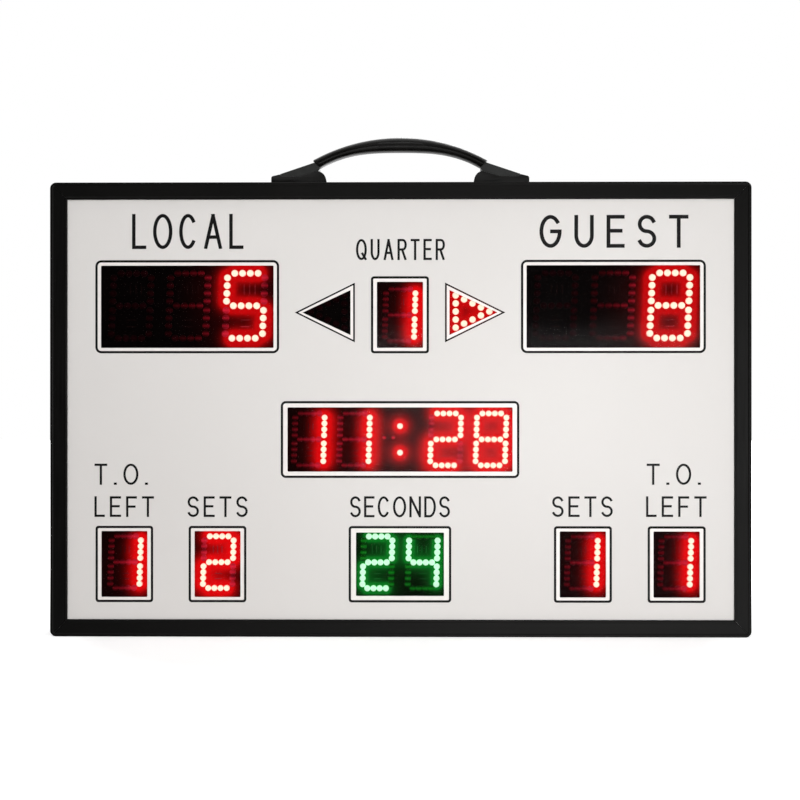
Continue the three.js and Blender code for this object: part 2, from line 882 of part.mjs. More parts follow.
// The rocker stands with its lower end pressed in
function buildRocker() {
  const reach = switchBodyHeight / 2 - switchWall - rockerPlay;
  const rise = reach * Math.tan(THREE.MathUtils.degToRad(rockerTilt));
  const halfWidth = switchBody / 2 - switchWall - runningGap;
  const outline = shapeOf([
    [rockerCrown, 0],
    [rockerCrown + rise, reach],
    [rockerCrown + rise - rockerSkirt, reach],
    [-rockerFoot, rockerFoot],
    [-rockerFoot, -rockerFoot],
    [rockerCrown + rise - rockerSkirt, -reach],
    [rockerCrown + rise, -reach],
  ]);
  const rocker = add("switch_rocker", drawnAlongX(outline, -halfWidth, halfWidth), "plastic");
  rocker.rotation.x = -THREE.MathUtils.degToRad(rockerTilt);
  rocker.position.set(connectorOffset, rockerPivot, switchLevel);
}

function screw(length) {
  const profile = [
    [0, -length],
    [screwRadius, -length],
    [screwRadius, 0],
    [screwHeadRadius, 0],
    [screwHeadRadius, screwHeadHeight / 2],
    [screwHeadRadius * screwCrownShare, screwHeadHeight],
    [0, screwHeadHeight],
  ];
  return turned(profile, 0, 0, screwSides);
}

function buildPanelScrews() {
  for (const [suffix, side] of [["left", -1], ["right", 1]]) {
    panelScrewLevels().forEach((level, i) => {
      const held = add("panel_screw_" + suffix + "_" + (i + 1), screw(screwGrip), "steel");
      held.position.set(side * (boardWidth / 2 - panelScrewInset), panelBack, boardHeight / 2 + level);
    });
  }
}

function buildBack() {
  add("back_panel", backPanel(), "panel");
  add("main_board", mainBoard(), "logic");
  add("power_board", powerBoard(), "logic");
  add("buzzer", buzzer(), "plastic");
  add("power_inlet", inlet(), "plastic");
  add("power_lead", powerLead(), "rubber");
  add("ribbon_upper", ribbon(upperHeader, headerUnder(periodLevel)), "ribbon");
  add("ribbon_middle", ribbon(middleHeader, headerUnder(clockLevel)), "ribbon");
  add("ribbon_lower", ribbon(lowerHeader, headerUnder(lowerLevel)), "ribbon");
  add("switch_housing", switchHousing(), "plastic");
  buildRocker();
  buildPanelScrews();
}

// Handle, in heights above the top rail
const handle = new THREE.Group();
handle.position.z = boardHeight;
root.add(handle);

// Points of an arch from left to right, symmetric about X = 0
function arch(radius, top, halfSpan, steps) {
  const reach = Math.asin(halfSpan / radius);
  return Array.from({ length: steps + 1 }, (_, i) => {
    const angle = reach * ((2 * i) / steps - 1);
    return [radius * Math.sin(angle), top - radius * (1 - Math.cos(angle))];
  });
}

function archRadius(halfSpan, rise) {
  return (halfSpan ** 2 + rise ** 2) / (2 * rise);
}

// A band of even thickness round the grip's middle line
const middleTop = gripTop - gripThickness / 2;
const middleHalf = (gripHalfTop + gripHalfBottom) / 2;
const middleRadius = archRadius(middleHalf, middleTop - (gripEndTop + gripEndBottom) / 2);

function band(thickness, halfSpan, steps) {
  const upper = arch(middleRadius + thickness / 2, middleTop + thickness / 2, halfSpan, steps);
  const lower = arch(middleRadius - thickness / 2, middleTop - thickness / 2, halfSpan, steps);
  return [upper, lower];
}

function grip() {
  const underside = gripTop - gripThickness;
  const upperRadius = archRadius(gripHalfTop, gripTop - gripEndTop);
  const upper = arch(upperRadius, gripTop, gripHalfTop, gripSteps);
  const lower = Array.from({ length: gripSteps + 1 }, (_, i) => {
    const share = (2 * i) / gripSteps - 1;
    const drop = (underside - gripEndBottom) * Math.abs(share) ** gripLowerPower;
    return [share * gripHalfBottom, underside - drop];
  });
  const bevel = {
    bevelEnabled: true,
    bevelThickness: gripRound,
    bevelSize: gripRound,
    bevelOffset: -gripRound,
    bevelSegments: arcSteps,
  };
  const inset = gripWidth / 2 - gripRound;
  const body = plate(shapeOf([...lower, ...upper.reverse()]), -inset, inset, bevel);
  const bore = boreOf(strapThickness + 2 * strapPlay);
  const [grooveTop, grooveBottom] = band(grooveWidth, handleHalf, gripSteps);
  const groove = shapeOf([...grooveBottom, ...grooveTop.reverse()]);
  const depth = gripWidth / 2 - grooveDepth;
  const frontGroove = plate(groove, -gripWidth, -depth);
  const backGroove = plate(groove, depth, gripWidth);
  return cut(body, bore, frontGroove, backGroove);
}

function boreOf(height) {
  const [top, bottom] = band(height, handleHalf, gripSteps);
  const reach = strapWidth / 2 + strapPlay;
  return plate(shapeOf([...bottom, ...top.reverse()]), -reach, reach);
}

// X of the grip's slanted end at a height
function gripEndAt(height) {
  const share = (height - gripEndBottom) / (gripEndTop - gripEndBottom);
  return gripHalfBottom + share * (gripHalfTop - gripHalfBottom);
}

// The strap: a thin arch inside the grip that widens into a wedge-shaped tongue at each end
const tipLow = socketFloor + runningGap;
const tipHigh = tipLow + tipThickness;

function strap() {
  const rootTop = [gripEndAt(tongueRootTop) + tongueGap, tongueRootTop];
  const rootBottom = [gripEndAt(tongueRootBottom) + tongueGap, tongueRootBottom];
  const bandEnd = gripEndAt((gripEndTop + gripEndBottom) / 2) + tongueGap;
  const [upper, lower] = band(strapThickness, bandEnd, strapSteps);
  const outer = [
    rootTop,
    [pocketMouth - runningGap, tongueMouthTop],
    [pocketMouth - runningGap, tipHigh],
    [pocketMouth + tipReach, tipHigh],
    [pocketMouth + tipReach, tipLow],
    [pocketMouth - tipReach / 2, tipLow],
    [tongueKnee, tongueKneeHeight],
    rootBottom,
  ];
  const mirrored = outer.map(([x, z]) => [-x, z]).reverse();
  const outline = [...mirrored, ...upper, ...outer, ...lower.reverse()];
  return plate(shapeOf(outline), -strapWidth / 2, strapWidth / 2);
}

// A socket: a knob over the tongue's tip, two low walls, and a nose towards the grip
function socket() {
  const shape = new THREE.Shape();
  shape.moveTo(socketInner, 0);
  shape.lineTo(handleHalf, 0);
  shape.lineTo(handleHalf, knobHeight - knobRound);
  shape.absarc(handleHalf - knobRound, knobHeight - knobRound, knobRound, 0, quarterTurn);
  shape.lineTo(pocketMouth, knobMouthHeight);
  shape.lineTo(pocketMouth - knobRound, socketWallTop);
  shape.lineTo(tongueKnee, socketWallTop);
  shape.lineTo(socketInner + noseLength, noseHeight);
  shape.quadraticCurveTo(socketInner, noseHeight * noseCurveShare, socketInner, 0);
  const body = plate(shape, -socketWidth / 2, socketWidth / 2, { curveSegments: socketArcSteps });
  const reach = strapWidth / 2 + strapPlay;
  const trayStart = socketInner + noseLength + runningGap;
  const tray = block([trayStart, -reach, socketFloor], [pocketMouth, reach, noseHeight + overrun]);
  const pocketTop = tipHigh + handleLift + runningGap;
  const pocketEnd = pocketMouth + tipReach + strapPlay;
  const pocket = block([pocketMouth - overrun, -reach, socketFloor], [pocketEnd, reach, pocketTop]);
  const holes = handleScrewPlaces().map((x) => standing(screwHole, -overrun, socketFloor + overrun, x));
  return cut(body, tray, pocket, ...holes);
}

function buildHandle() {
  add("handle_strap", strap(), "plastic", handle);
  add("handle_grip", grip(), "grip", handle);
  for (const [suffix, turn] of [["right", 0], ["left", 2 * quarterTurn]]) {
    const end = new THREE.Group();
    end.rotation.z = turn;
    handle.add(end);
    add("handle_socket_" + suffix, socket(), "plastic", end);
    const length = socketFloor + railWall + screwGrip;
    handleScrewPlaces().forEach((x, i) => {
      const held = add("handle_screw_" + suffix + "_" + (i + 1), screw(length), "steel", end);
      held.rotation.x = quarterTurn;
      held.position.set(x, 0, socketFloor);
    });
  }
}

// Fold-out legs, each hanging from a hinge on the back panel
const hingeDepth = panelBack + bracketPlate + knuckleRadius + runningGap;
const tipBottom = legClearance;
const legBottom = tipBottom + tipLength - legInsertion;
const pinBore = pinRadius + pinPlay;
const bracketHalf = legWidth / 2 + runningGap + earThickness;

function crosswise(radius, xLow, xHigh, sides = roundSides) {
  const geometry = new THREE.CylinderGeometry(radius, radius, xHigh - xLow, sides).rotateZ(quarterTurn);
  return geometry.translate((xLow + xHigh) / 2, 0, 0);
}

function leg() {
  const reach = legWidth / 2;
  const strip = block(
    [-reach, -legThickness / 2, legBottom - legHinge],
    [reach, legThickness / 2, 0],
  );
  const knuckle = crosswise(knuckleRadius, -reach, reach);
  return cut(joined(strip, knuckle), crosswise(pinBore, -reach - overrun, reach + overrun));
}

function legTip() {
  const outerX = legWidth / 2 + runningGap + tipWall;
  const outerY = legThickness / 2 + runningGap + tipWall;
  const low = tipBottom - legHinge;
  const body = block([-outerX, -outerY, low], [outerX, outerY, low + tipLength]);
  const pocket = block(
    [tipWall - outerX, tipWall - outerY, legBottom - legHinge],
    [outerX - tipWall, outerY - tipWall, low + tipLength + overrun],
  );
  return cut(body, pocket);
}

function bracket() {
  const plateBack = bracketPlate - (hingeDepth - panelBack);
  const plateFront = panelBack - hingeDepth;
  const foot = bracketHalf + bracketFoot;
  const base = block([-foot, plateFront, -bracketHeight / 2], [foot, plateBack, bracketHeight / 2]);
  const ear = new THREE.Shape();
  ear.moveTo(plateFront, -bracketHeight / 2);
  ear.lineTo(0, -knuckleRadius);
  ear.absarc(0, 0, knuckleRadius, -quarterTurn, quarterTurn);
  ear.lineTo(plateFront, bracketHeight / 2);
  const inner = bracketHalf - earThickness;
  const ears = joined(
    base,
    drawnAlongX(ear, -bracketHalf, -inner),
    drawnAlongX(ear, inner, bracketHalf),
  );
  return cut(ears, crosswise(pinBore, -bracketHalf - overrun, bracketHalf + overrun));
}

function hingePin() {
  const reach = bracketHalf + pinPlay;
  return joined(
    crosswise(pinRadius, -reach, reach),
    crosswise(pinHeadRadius, reach, reach + pinHeadLength, screwSides),
    crosswise(pinHeadRadius, -reach - pinHeadLength, -reach, screwSides),
  );
}

function buildLegs() {
  for (const [suffix, side] of [["left", -1], ["right", 1]]) {
    const hinge = new THREE.Group();
    hinge.position.set(side * legOffset, hingeDepth, legHinge);
    root.add(hinge);
    add("leg_bracket_" + suffix, bracket(), "steel", hinge);
    add("leg_pin_" + suffix, hingePin(), "steel", hinge);
    add("leg_" + suffix, leg(), "frame", hinge);
    add("leg_tip_" + suffix, legTip(), "rubber", hinge);
  }
}

buildFrame();
buildKeys();
buildFace();
buildCircuits();
buildCarriers();
buildBack();
buildHandle();
buildLegs();

export default root;
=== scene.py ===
import json
from collections import namedtuple
from math import asin, copysign, cos, exp, pi, radians, sin, tan

import bmesh
import bpy
import numpy as np
from mathutils import Matrix, Vector
from mathutils.geometry import delaunay_2d_cdt, tessellate_polygon


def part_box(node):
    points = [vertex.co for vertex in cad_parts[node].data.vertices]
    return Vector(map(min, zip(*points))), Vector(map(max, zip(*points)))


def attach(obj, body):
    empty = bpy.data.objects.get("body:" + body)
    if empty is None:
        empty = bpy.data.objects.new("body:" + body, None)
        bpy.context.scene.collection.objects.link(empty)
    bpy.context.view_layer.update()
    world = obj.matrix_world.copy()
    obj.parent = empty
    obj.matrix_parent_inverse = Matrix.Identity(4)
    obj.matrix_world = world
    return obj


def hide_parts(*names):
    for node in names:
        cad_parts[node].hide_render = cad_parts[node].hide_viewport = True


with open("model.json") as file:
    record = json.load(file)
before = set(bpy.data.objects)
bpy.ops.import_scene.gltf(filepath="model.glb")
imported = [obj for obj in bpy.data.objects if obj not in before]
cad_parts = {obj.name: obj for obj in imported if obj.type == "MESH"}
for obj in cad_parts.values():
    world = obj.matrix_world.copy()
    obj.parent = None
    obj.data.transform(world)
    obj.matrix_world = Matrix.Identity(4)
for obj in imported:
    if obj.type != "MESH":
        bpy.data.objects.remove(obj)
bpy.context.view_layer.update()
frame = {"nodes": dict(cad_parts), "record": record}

nodes = frame["nodes"]

# Lengths are in millimetres, and every mesh is scaled to metres when it is made
MM = 0.001

# Frame
BOARD_WIDTH = 700
BOARD_HEIGHT = 454
BOARD_DEPTH = 60
FRONT = -BOARD_DEPTH / 2
CORNER_RADIUS = 6
RAIL_WALL = 2.4
LIP_WIDTH = 17.2
LIP_THICKNESS = 2.8
FLANGE_REACH = 13
FLANGE_THICKNESS = 1.8
REAR_RECESS = 10.5
BACK_THICKNESS = 1.5
MITRE_GAP = 0.1
OUTER_CROWN = 3.4
INNER_CROWN = 3.0
CHANNEL_DEPTH = 0.8
CROWN_STEPS = 6
CROWN_POWER = 0.7
BACK_CHAMFER = 0.6
EASED_EDGE = 0.3

# Face and smoked sheet
SHEET_WIDTH = 694.6
SHEET_HEIGHT = 448.6
SHEET_PLAY = 0.3
FACE_FRONT = FRONT + LIP_THICKNESS
FACE_BACK = FACE_FRONT + 1.5
FILTER_BACK = FACE_BACK + 2
WINDOW_RADIUS = 1
PRINT_THICKNESS = 0.05
LINE_WIDTH = 2.35
LINE_STEPS = 40

# Circuit boards and lamps
LAMP_TIP = FILTER_BACK + 1
CIRCUIT_FRONT = LAMP_TIP + 4.2
CIRCUIT_BACK = CIRCUIT_FRONT + 1.6
CIRCUIT_MARGIN = 4
BOARD_STEP = 1.1
DIGIT_RISE = 1.3

# Levels of the rows of windows
LOWER_LEVEL = 72.4
CLOCK_LEVEL = 197.0
PERIOD_LEVEL = 321.6
SCORE_LEVEL = 329.8
ARROW_LEVEL = 323.9


Digit = namedtuple(
    "Digit", "width height column_pitch row_pitch lens_radius lean glow_reach mark_pitch mark_radius"
)
Window = namedtuple(
    "Window", "name x z width height digit centres shown rise line_margins corner mark_start green",
    defaults=[False],
)

SCORE_WIDTH = 173.0
SCORE_SPACING = 57.21
LARGE = Digit(37.61, 65.2, 7.8, 7.8, 3.45, 0.044, 4.2, 5.5, 0.75)
SMALL = Digit(29.5, 52, 6.2, 5.9, 3.0, 0.032, 3.5, 4.4, 0.55)
NARROW = SMALL._replace(width=28.6, lens_radius=3.1, glow_reach=2.9)
SCORE_CENTRES = (-SCORE_SPACING, 0, SCORE_SPACING)
CLOCK_CENTRES = (-91.1, -45.7, 45.7, 91.1)
SHOT_CENTRES = (-22.7, 22.7)
COLON_HEIGHT = 26.6
DOT_PLACES = (-15.8, -6.8)
DOT_RISE = 1.8
DOT_RADIUS = 1.8
DOT_CAUGHT = 2.2
DOT_THROUGH = 0.8


def score(name, x, shown, mark_start):
    return Window(name, x, SCORE_LEVEL, SCORE_WIDTH, 82.4, LARGE, SCORE_CENTRES, shown, DIGIT_RISE,
                  (5.6, 5.4), 6, mark_start)


def counter(name, x, shown):
    return Window(name, x, LOWER_LEVEL, 46.1, 66.0, SMALL, (0,), shown, DIGIT_RISE, (5.85, 5.2), 3, -5.2)


WINDOWS = [
    score("score_left", -212.85, "  5", -0.9),
    score("score_right", 212.85, "  8", -3.8),
    Window("period", 0, PERIOD_LEVEL, 46.1, 66.0, SMALL, (0,), "1", 0, (5.95, 5.5), 3, -5.2),
    Window("clock", 0, CLOCK_LEVEL, 224.9, 64.2, SMALL, CLOCK_CENTRES, "1128", 0, (6.7, 6.35), 5, -5.2),
    Window("shot_clock", 0, LOWER_LEVEL, 87.9, 63.4, NARROW, SHOT_CENTRES, "24", DIGIT_RISE,
           (7.3, 6.5), 3.2, -5.2, True),
    counter("foul_left", -182.5, "2"),
    counter("foul_right", 182.5, "1"),
    counter("timeout_left", -275.85, "1"),
    counter("timeout_right", 275.85, "1"),
]

# Arrow windows beside the period's window
ARROW_BASE = 49.45
ARROW_LENGTH = 48
ARROW_HEIGHT = 45
ARROW_INSET = 6.3
ARROW_PITCH = 8.1
ARROW_STEP = 8.44
ARROW_LENS = 3.3
ARROW_LINE_BASE = 45.0
ARROW_LINE_TIP = 105.2
ARROW_LINE_HEIGHT = 59.7
ARROW_LINE_SHARE = 0.912

SHOWN_SEGMENTS = {
    " ": (),
    "1": ("right_low", "right_high"),
    "2": ("top", "right_high", "middle", "left_low", "bottom"),
    "4": ("left_high", "middle", "right_low", "right_high"),
    "5": ("top", "left_high", "middle", "right_low", "bottom"),
    "8": ("bottom", "middle", "top", "left_low", "left_high", "right_low", "right_high"),
}


# Lamps of a digit, four to a segment, leaning to the right
def segment_lamps(digit):
    def four(pitch):
        return [(i - 1.5) * pitch for i in range(4)]

    half_width, quarter = digit.width / 2, digit.height / 4
    rows = (("bottom", -2 * quarter), ("middle", 0), ("top", 2 * quarter))
    segments = {name: [(x, z) for x in four(digit.column_pitch)] for name, z in rows}
    for side, x in (("left", -half_width), ("right", half_width)):
        for half, z in (("low", -quarter), ("high", quarter)):
            segments[side + "_" + half] = [(x, z + step) for step in four(digit.row_pitch)]
    return {name: [(x + digit.lean * z, z) for x, z in lamps] for name, lamps in segments.items()}


def window_lamps(window):
    """Places of a window's lit and unlit lamps."""
    lit, dark = [], []
    level = window.z + window.rise
    for centre, figure in zip(window.centres, window.shown):
        for segment, lamps in segment_lamps(window.digit).items():
            group = lit if segment in SHOWN_SEGMENTS[figure] else dark
            group.extend((window.x + centre + x, level + z) for x, z in lamps)
    if window.name == "clock":
        lit.extend((window.x, level + side * COLON_HEIGHT / 2) for side in (-1, 1))
    return lit, dark


def arrow_lamps(side):
    places = [(0, step * ARROW_PITCH) for step in (-2, -1, 0, 1, 2)]
    for step in (1, 2, 3):
        rise = 2 * ARROW_PITCH * (1 - step / 4)
        places += [(step * ARROW_STEP, rise), (step * ARROW_STEP, -rise)]
    places.append((4 * ARROW_STEP, 0))
    start = ARROW_BASE + ARROW_INSET
    return [(side * (start + x), ARROW_LEVEL + DIGIT_RISE + z) for x, z in places]


# Light of the lit lamps on what is round them. The functions give shares from 0 to 1, and most of
# the values here scale them for print, unlit lenses and the small parts of the boards
LAMP_GLOW = 46
BAND_GLOW = 0.12
LINE_GLOW = 0.1
GLINT_FLOOR = 0.1
STRAY_GLOW = 0.008
THROUGH_REACH = 5
THROUGH_STROKES = 1.2
PART_GLOW = 1.1
PART_REACH_SHARE = 1.4
PART_STRAY_GLOW = 0.003


def gathered(points, lamps, shade):
    if not lamps:
        return np.zeros(len(points))
    gaps = points[:, None, [0, 2]] - np.asarray(lamps, dtype=float)[None, :, :]
    return 1 - np.exp(-shade((gaps ** 2).sum(axis=2)).sum(axis=1))


def board_glow(points, lamps, reach, between_strokes, stroke_reach=8.8, far=0.004, far_reach=32):
    """A full glow round each lamp, a dimmer one between strokes and a faint one over the board."""
    def shade(squares):
        near = LAMP_GLOW * np.exp(-squares / reach ** 2)
        middle = between_strokes * np.exp(-squares / stroke_reach ** 2)
        return near + middle + far * np.exp(-squares / far_reach ** 2)

    return gathered(points, lamps, shade)


def lens_glow(points, lamps, share=0.5, reach=13):
    """Light that an unlit lens catches sideways from the lit ones."""
    return gathered(points, lamps, lambda squares: share * np.exp(-np.sqrt(squares) / reach))


def ink_glow(points, lamps, share=0.3, reach=10):
    return gathered(points, lamps, lambda squares: share * np.exp(-squares / reach ** 2))


# Materials
def material(name, colour, roughness, **sockets):
    made = bpy.data.materials.new(name)
    made.use_nodes = True
    shader = made.node_tree.nodes["Principled BSDF"]
    shader.inputs["Base Color"].default_value = (*colour, 1)
    shader.inputs["Roughness"].default_value = roughness
    for key, value in sockets.items():
        shader.inputs[key.replace("_", " ")].default_value = value
    return made


def add_node(tree, kind, inputs=None, **settings):
    made = tree.nodes.new("ShaderNode" + kind)
    for key, value in settings.items():
        setattr(made, key, value)
    for key, value in (inputs or {}).items():
        if isinstance(value, bpy.types.NodeSocket):
            tree.links.new(value, made.inputs[key])
        else:
            made.inputs[key].default_value = value
    return made


def math_node(tree, operation, first, second):
    return add_node(tree, "Math", {0: first, 1: second}, operation=operation).outputs["Value"]


def noise(tree, scale, detail=3, stretch=(1, 1, 1)):
    """Noise in the part's own coordinates. A small stretch draws the grain out along that axis."""
    place = add_node(tree, "TexCoord").outputs["Object"]
    mapped = add_node(tree, "Mapping", {"Vector": place, "Scale": stretch}).outputs["Vector"]
    return add_node(tree, "TexNoise", {"Vector": mapped, "Scale": scale, "Detail": detail}).outputs["Fac"]


def between(tree, fac, low, high, start=0.3, end=0.7):
    """Carries a factor over to the range low to high."""
    return add_node(tree, "MapRange", {
        "Value": fac, "From Min": start, "From Max": end, "To Min": low, "To Max": high,
    }).outputs["Result"]


def coloured(made, fac, dark, light, start=0.3, end=0.7, socket="Base Color"):
    tree = made.node_tree
    ramp = add_node(tree, "ValToRGB", {"Fac": fac})
    for element, place, colour in zip(ramp.color_ramp.elements, (start, end), (dark, light)):
        element.position = place
        element.color = (*colour, 1)
    tree.links.new(ramp.outputs["Color"], tree.nodes["Principled BSDF"].inputs[socket])


def roughened(made, fac, low, high):
    tree = made.node_tree
    tree.links.new(between(tree, fac, low, high), tree.nodes["Principled BSDF"].inputs["Roughness"])


def bumped(made, height, strength, distance):
    tree = made.node_tree
    bump = add_node(tree, "Bump", {"Height": height, "Strength": strength, "Distance": distance * MM})
    tree.links.new(bump.outputs["Normal"], tree.nodes["Principled BSDF"].inputs["Normal"])


def grained(made, shades=None, gloss=None, relief=None, stretch=(1, 1, 1)):
    """Gives a material mottled colour, uneven gloss and a fine relief.

    Each is given as two limits, then the scale and detail of its noise. The limits are two
    colours, two roughnesses, and the relief's strength and depth.
    """
    for change, values in ((coloured, shades), (roughened, gloss), (bumped, relief)):
        if values:
            *limits, scale, detail = values
            change(made, noise(made.node_tree, scale, detail, stretch), *limits)
    return made


def extruded_black(name, stretch):
    """Black coated aluminium with fine lines along the extrusion."""
    made = material(name, (0.0015, 0.0013, 0.001), 0.4, Specular_IOR_Level=0.075)
    grained(made, ((0.0008, 0.0007, 0.0005), (0.0022, 0.0019, 0.0016), 14, 4))
    return grained(made, None, (0.34, 0.48, 900, 2), (0.12, 0.05, 900, 2), stretch)


def printed_face():
    made = material("printed_face", (0.72, 0.70, 0.68), 0.38, Specular_IOR_Level=0.25)
    shades = ((0.70, 0.675, 0.655), (0.745, 0.722, 0.70), 2.2, 1)
    return grained(made, shades, (0.37, 0.39, 8, 1), (0.01, 0.05, 40, 1))


def ink(name, dark, light, roughness, **sockets):
    made = material(name, light, roughness, **sockets)
    return grained(made, (dark, light, 220, 3), (roughness - 0.05, roughness + 0.08, 90, 3))


def lit_from(made, colour):
    """Makes a material show the light that is kept in its mesh."""
    tree = made.node_tree
    shader = tree.nodes["Principled BSDF"]
    shader.inputs["Emission Color"].default_value = (*colour, 1)
    kept = add_node(tree, "Attribute", attribute_name="glow").outputs["Fac"]
    patchy = between(tree, noise(tree, 240, 3), 0.9, 1.1)
    tree.links.new(math_node(tree, "MULTIPLY", kept, patchy), shader.inputs["Emission Strength"])
    return made


def lacquer(name, dark, light, glow):
    """Black board lacquer that shows the light of its own lamps."""
    made = material(name, light, 0.45, Specular_IOR_Level=0.04)
    return lit_from(grained(made, (dark, light, 160, 4), (0.35, 0.55, 70, 3)), glow)


def smoked_sheet():
    made = material("smoked_sheet", (0.002, 0.001, 0.001), 0.08, Alpha=0.4, Specular_IOR_Level=0.03)
    return grained(made, gloss=(0.05, 0.12, 25, 3))


def lit_lens(name, rim, core, strength):
    made = material(name, core, 0.25, Emission_Strength=strength)
    tree = made.node_tree
    tip_share = add_node(tree, "Attribute", attribute_name="glow").outputs["Fac"]
    coloured(made, tip_share, rim, core, 0.0, 0.55, "Emission Color")
    return grained(made, gloss=(0.2, 0.32, 400, 2))


def plastic(name, dark, light, roughness, grain=0.06, specular=0.4):
    made = material(name, light, roughness, Specular_IOR_Level=specular)
    gloss = (roughness - 0.06, roughness + 0.1, 35, 3)
    return grained(made, (dark, light, 60, 4), gloss, (grain, 0.08, 1400, 2))


def metal(name, dark, light, roughness, stretch=(1, 1, 1)):
    made = material(name, light, roughness, Metallic=0.9)
    gloss = (roughness - 0.08, roughness + 0.14, 420, 3)
    return grained(made, (dark, light, 180, 4), gloss, (0.06, 0.03, 700, 2), stretch)


WHITE_INK = ((0.82, 0.775, 0.75), (0.865, 0.825, 0.795), 0.35)
BLACK_INK = ((0.0025, 0.002, 0.002), (0.005, 0.0045, 0.0045), 0.45)
BLACK_LACQUER = ((0.0008, 0.0005, 0.0005), (0.0025, 0.0012, 0.0012))
frame_across = extruded_black("frame_black_across", (0.02, 1, 1))
frame_upright = extruded_black("frame_black_upright", (1, 1, 0.02))
face = printed_face()
black_ink = ink("black_ink", *BLACK_INK, Specular_IOR_Level=0.1)
# Black line ink with painted red glow near the lit arrow's lamps
black_ink_painted_red_glow = lit_from(ink("black_ink_with_painted_red_glow", *BLACK_INK, Specular_IOR_Level=0.1), (1, 0.06, 0.05))
# White band ink with painted lamp glow, red here and green below, kept per vertex and strongest near lit
# lamps
band_ink_painted_red_glow = lit_from(ink("white_ink_with_painted_red_glow", *WHITE_INK), (1, 0.05, 0.05))
band_ink_painted_green_glow = lit_from(ink("white_ink_with_painted_green_glow", *WHITE_INK), (0.15, 1, 0.2))
smoke = smoked_sheet()

# Materials of one colour of lamps, with shares of light: on the board, between strokes, caught by
# unlit lenses and shown through them
Look = namedtuple("Look", "board lit dark part shine loops caught through")
RED = Look(
    lacquer("led_board_red", *BLACK_LACQUER, (1, 0.003, 0.005)),
    lit_lens("lamp_red_lit", (1, 0.3, 0.27), (1, 0.92, 0.72), 2.5),
    lacquer("lamp_red_dark", (0.012, 0.001, 0.003), (0.03, 0.002, 0.006), (1, 0.02, 0.05)),
    # Dark resistor bodies tinted red as painted lamp light, with painted glow near lit lamps
    lacquer("resistor_painted_red_light", (0.01, 0.004, 0.004), (0.03, 0.012, 0.012), (1, 0.04, 0.06)),
    shine=1.5, loops=0.8, caught=0.9, through=1.1,
)
SMALL_RED = RED._replace(shine=2.0, loops=1.1)
GREEN = Look(
    lacquer("led_board_green", *BLACK_LACQUER, (0.004, 0.36, 0.03)),
    lit_lens("lamp_green_lit", (0.3, 0.9, 0.4), (0.66, 1, 0.76), 2.4),
    lacquer("lamp_green_dark", (0.003, 0.02, 0.006), (0.005, 0.03, 0.01), (0.012, 0.62, 0.03)),
    # Dark resistor bodies tinted green as painted lamp light, with painted glow near lit lamps
    lacquer("resistor_painted_green_light", (0.006, 0.01, 0.005), (0.012, 0.02, 0.01), (0.02, 0.4, 0.06)),
    shine=1.35, loops=0.25, caught=0.7, through=0.1,
)

grip_plastic = plastic("grip_black", (0.003, 0.0028, 0.0025), (0.006, 0.0056, 0.005), 0.38, 0.1, 0.13)
black_plastic = plastic("black_plastic", (0.002, 0.0018, 0.0015), (0.005, 0.0045, 0.004), 0.28, 0.04, 0.15)
tongue_plastic = plastic("tongue_black", (0.01, 0.0105, 0.01), (0.018, 0.019, 0.0175), 0.38, 0.08, 0.2)
steel = metal("zinc_steel", (0.42, 0.42, 0.43), (0.6, 0.6, 0.61), 0.34)
black_rubber = plastic("black_rubber", (0.01, 0.01, 0.01), (0.02, 0.0195, 0.019), 0.78, 0.2, 0.25)
mark_white = plastic("mark_white", (0.62, 0.62, 0.6), (0.7, 0.7, 0.68), 0.5)

SLOT_MATERIALS = {
    "frame_black": frame_across,
    "key_metal": metal("key_metal", (0.36, 0.36, 0.37), (0.5, 0.5, 0.51), 0.45),
    "face_print": face,
    "smoked_sheet": smoke,
    "led_board": RED.board,
    "carrier_metal": metal("carrier_metal", (0.5, 0.5, 0.51), (0.62, 0.62, 0.63), 0.38, (0.03, 1, 1)),
    "back_panel": plastic("powder_coat", (0.012, 0.012, 0.0125), (0.022, 0.022, 0.023), 0.5, 0.25),
    "logic_board": plastic("logic_board", (0.006, 0.045, 0.017), (0.018, 0.105, 0.042), 0.4),
    "black_plastic": black_plastic,
    "ribbon_grey": plastic("ribbon_grey", (0.2, 0.2, 0.21), (0.3, 0.3, 0.31), 0.55),
    "grip_black": grip_plastic,
    "zinc_steel": steel,
    "black_rubber": black_rubber,
}
SLOT_OF_NODE = {row["node"]: row["material_slot"] for row in frame["record"]["subparts"]}


def dress_nodes():
    """Gives every node of the frame its material, and eased edges to those that show."""
    for name, made in nodes.items():
        made.data.materials.clear()
        made.data.materials.append(SLOT_MATERIALS[SLOT_OF_NODE[name]])
        if name.startswith(("back_panel", "leg", "switch_housing")):
            bevel = made.modifiers.new("eased edges", "BEVEL")
            bevel.width = EASED_EDGE * MM
            bevel.segments = 2
            bevel.limit_method = "ANGLE"
            bevel.angle_limit = radians(35)


# Making pieces from vertices and faces
def mesh_of(name, bm):
    mesh = bpy.data.meshes.new(name)
    bm.to_mesh(mesh)
    bm.free()
    return mesh


def placed(name, data):
    made = bpy.data.objects.new(name, data)
    bpy.context.scene.collection.objects.link(made)
    return made


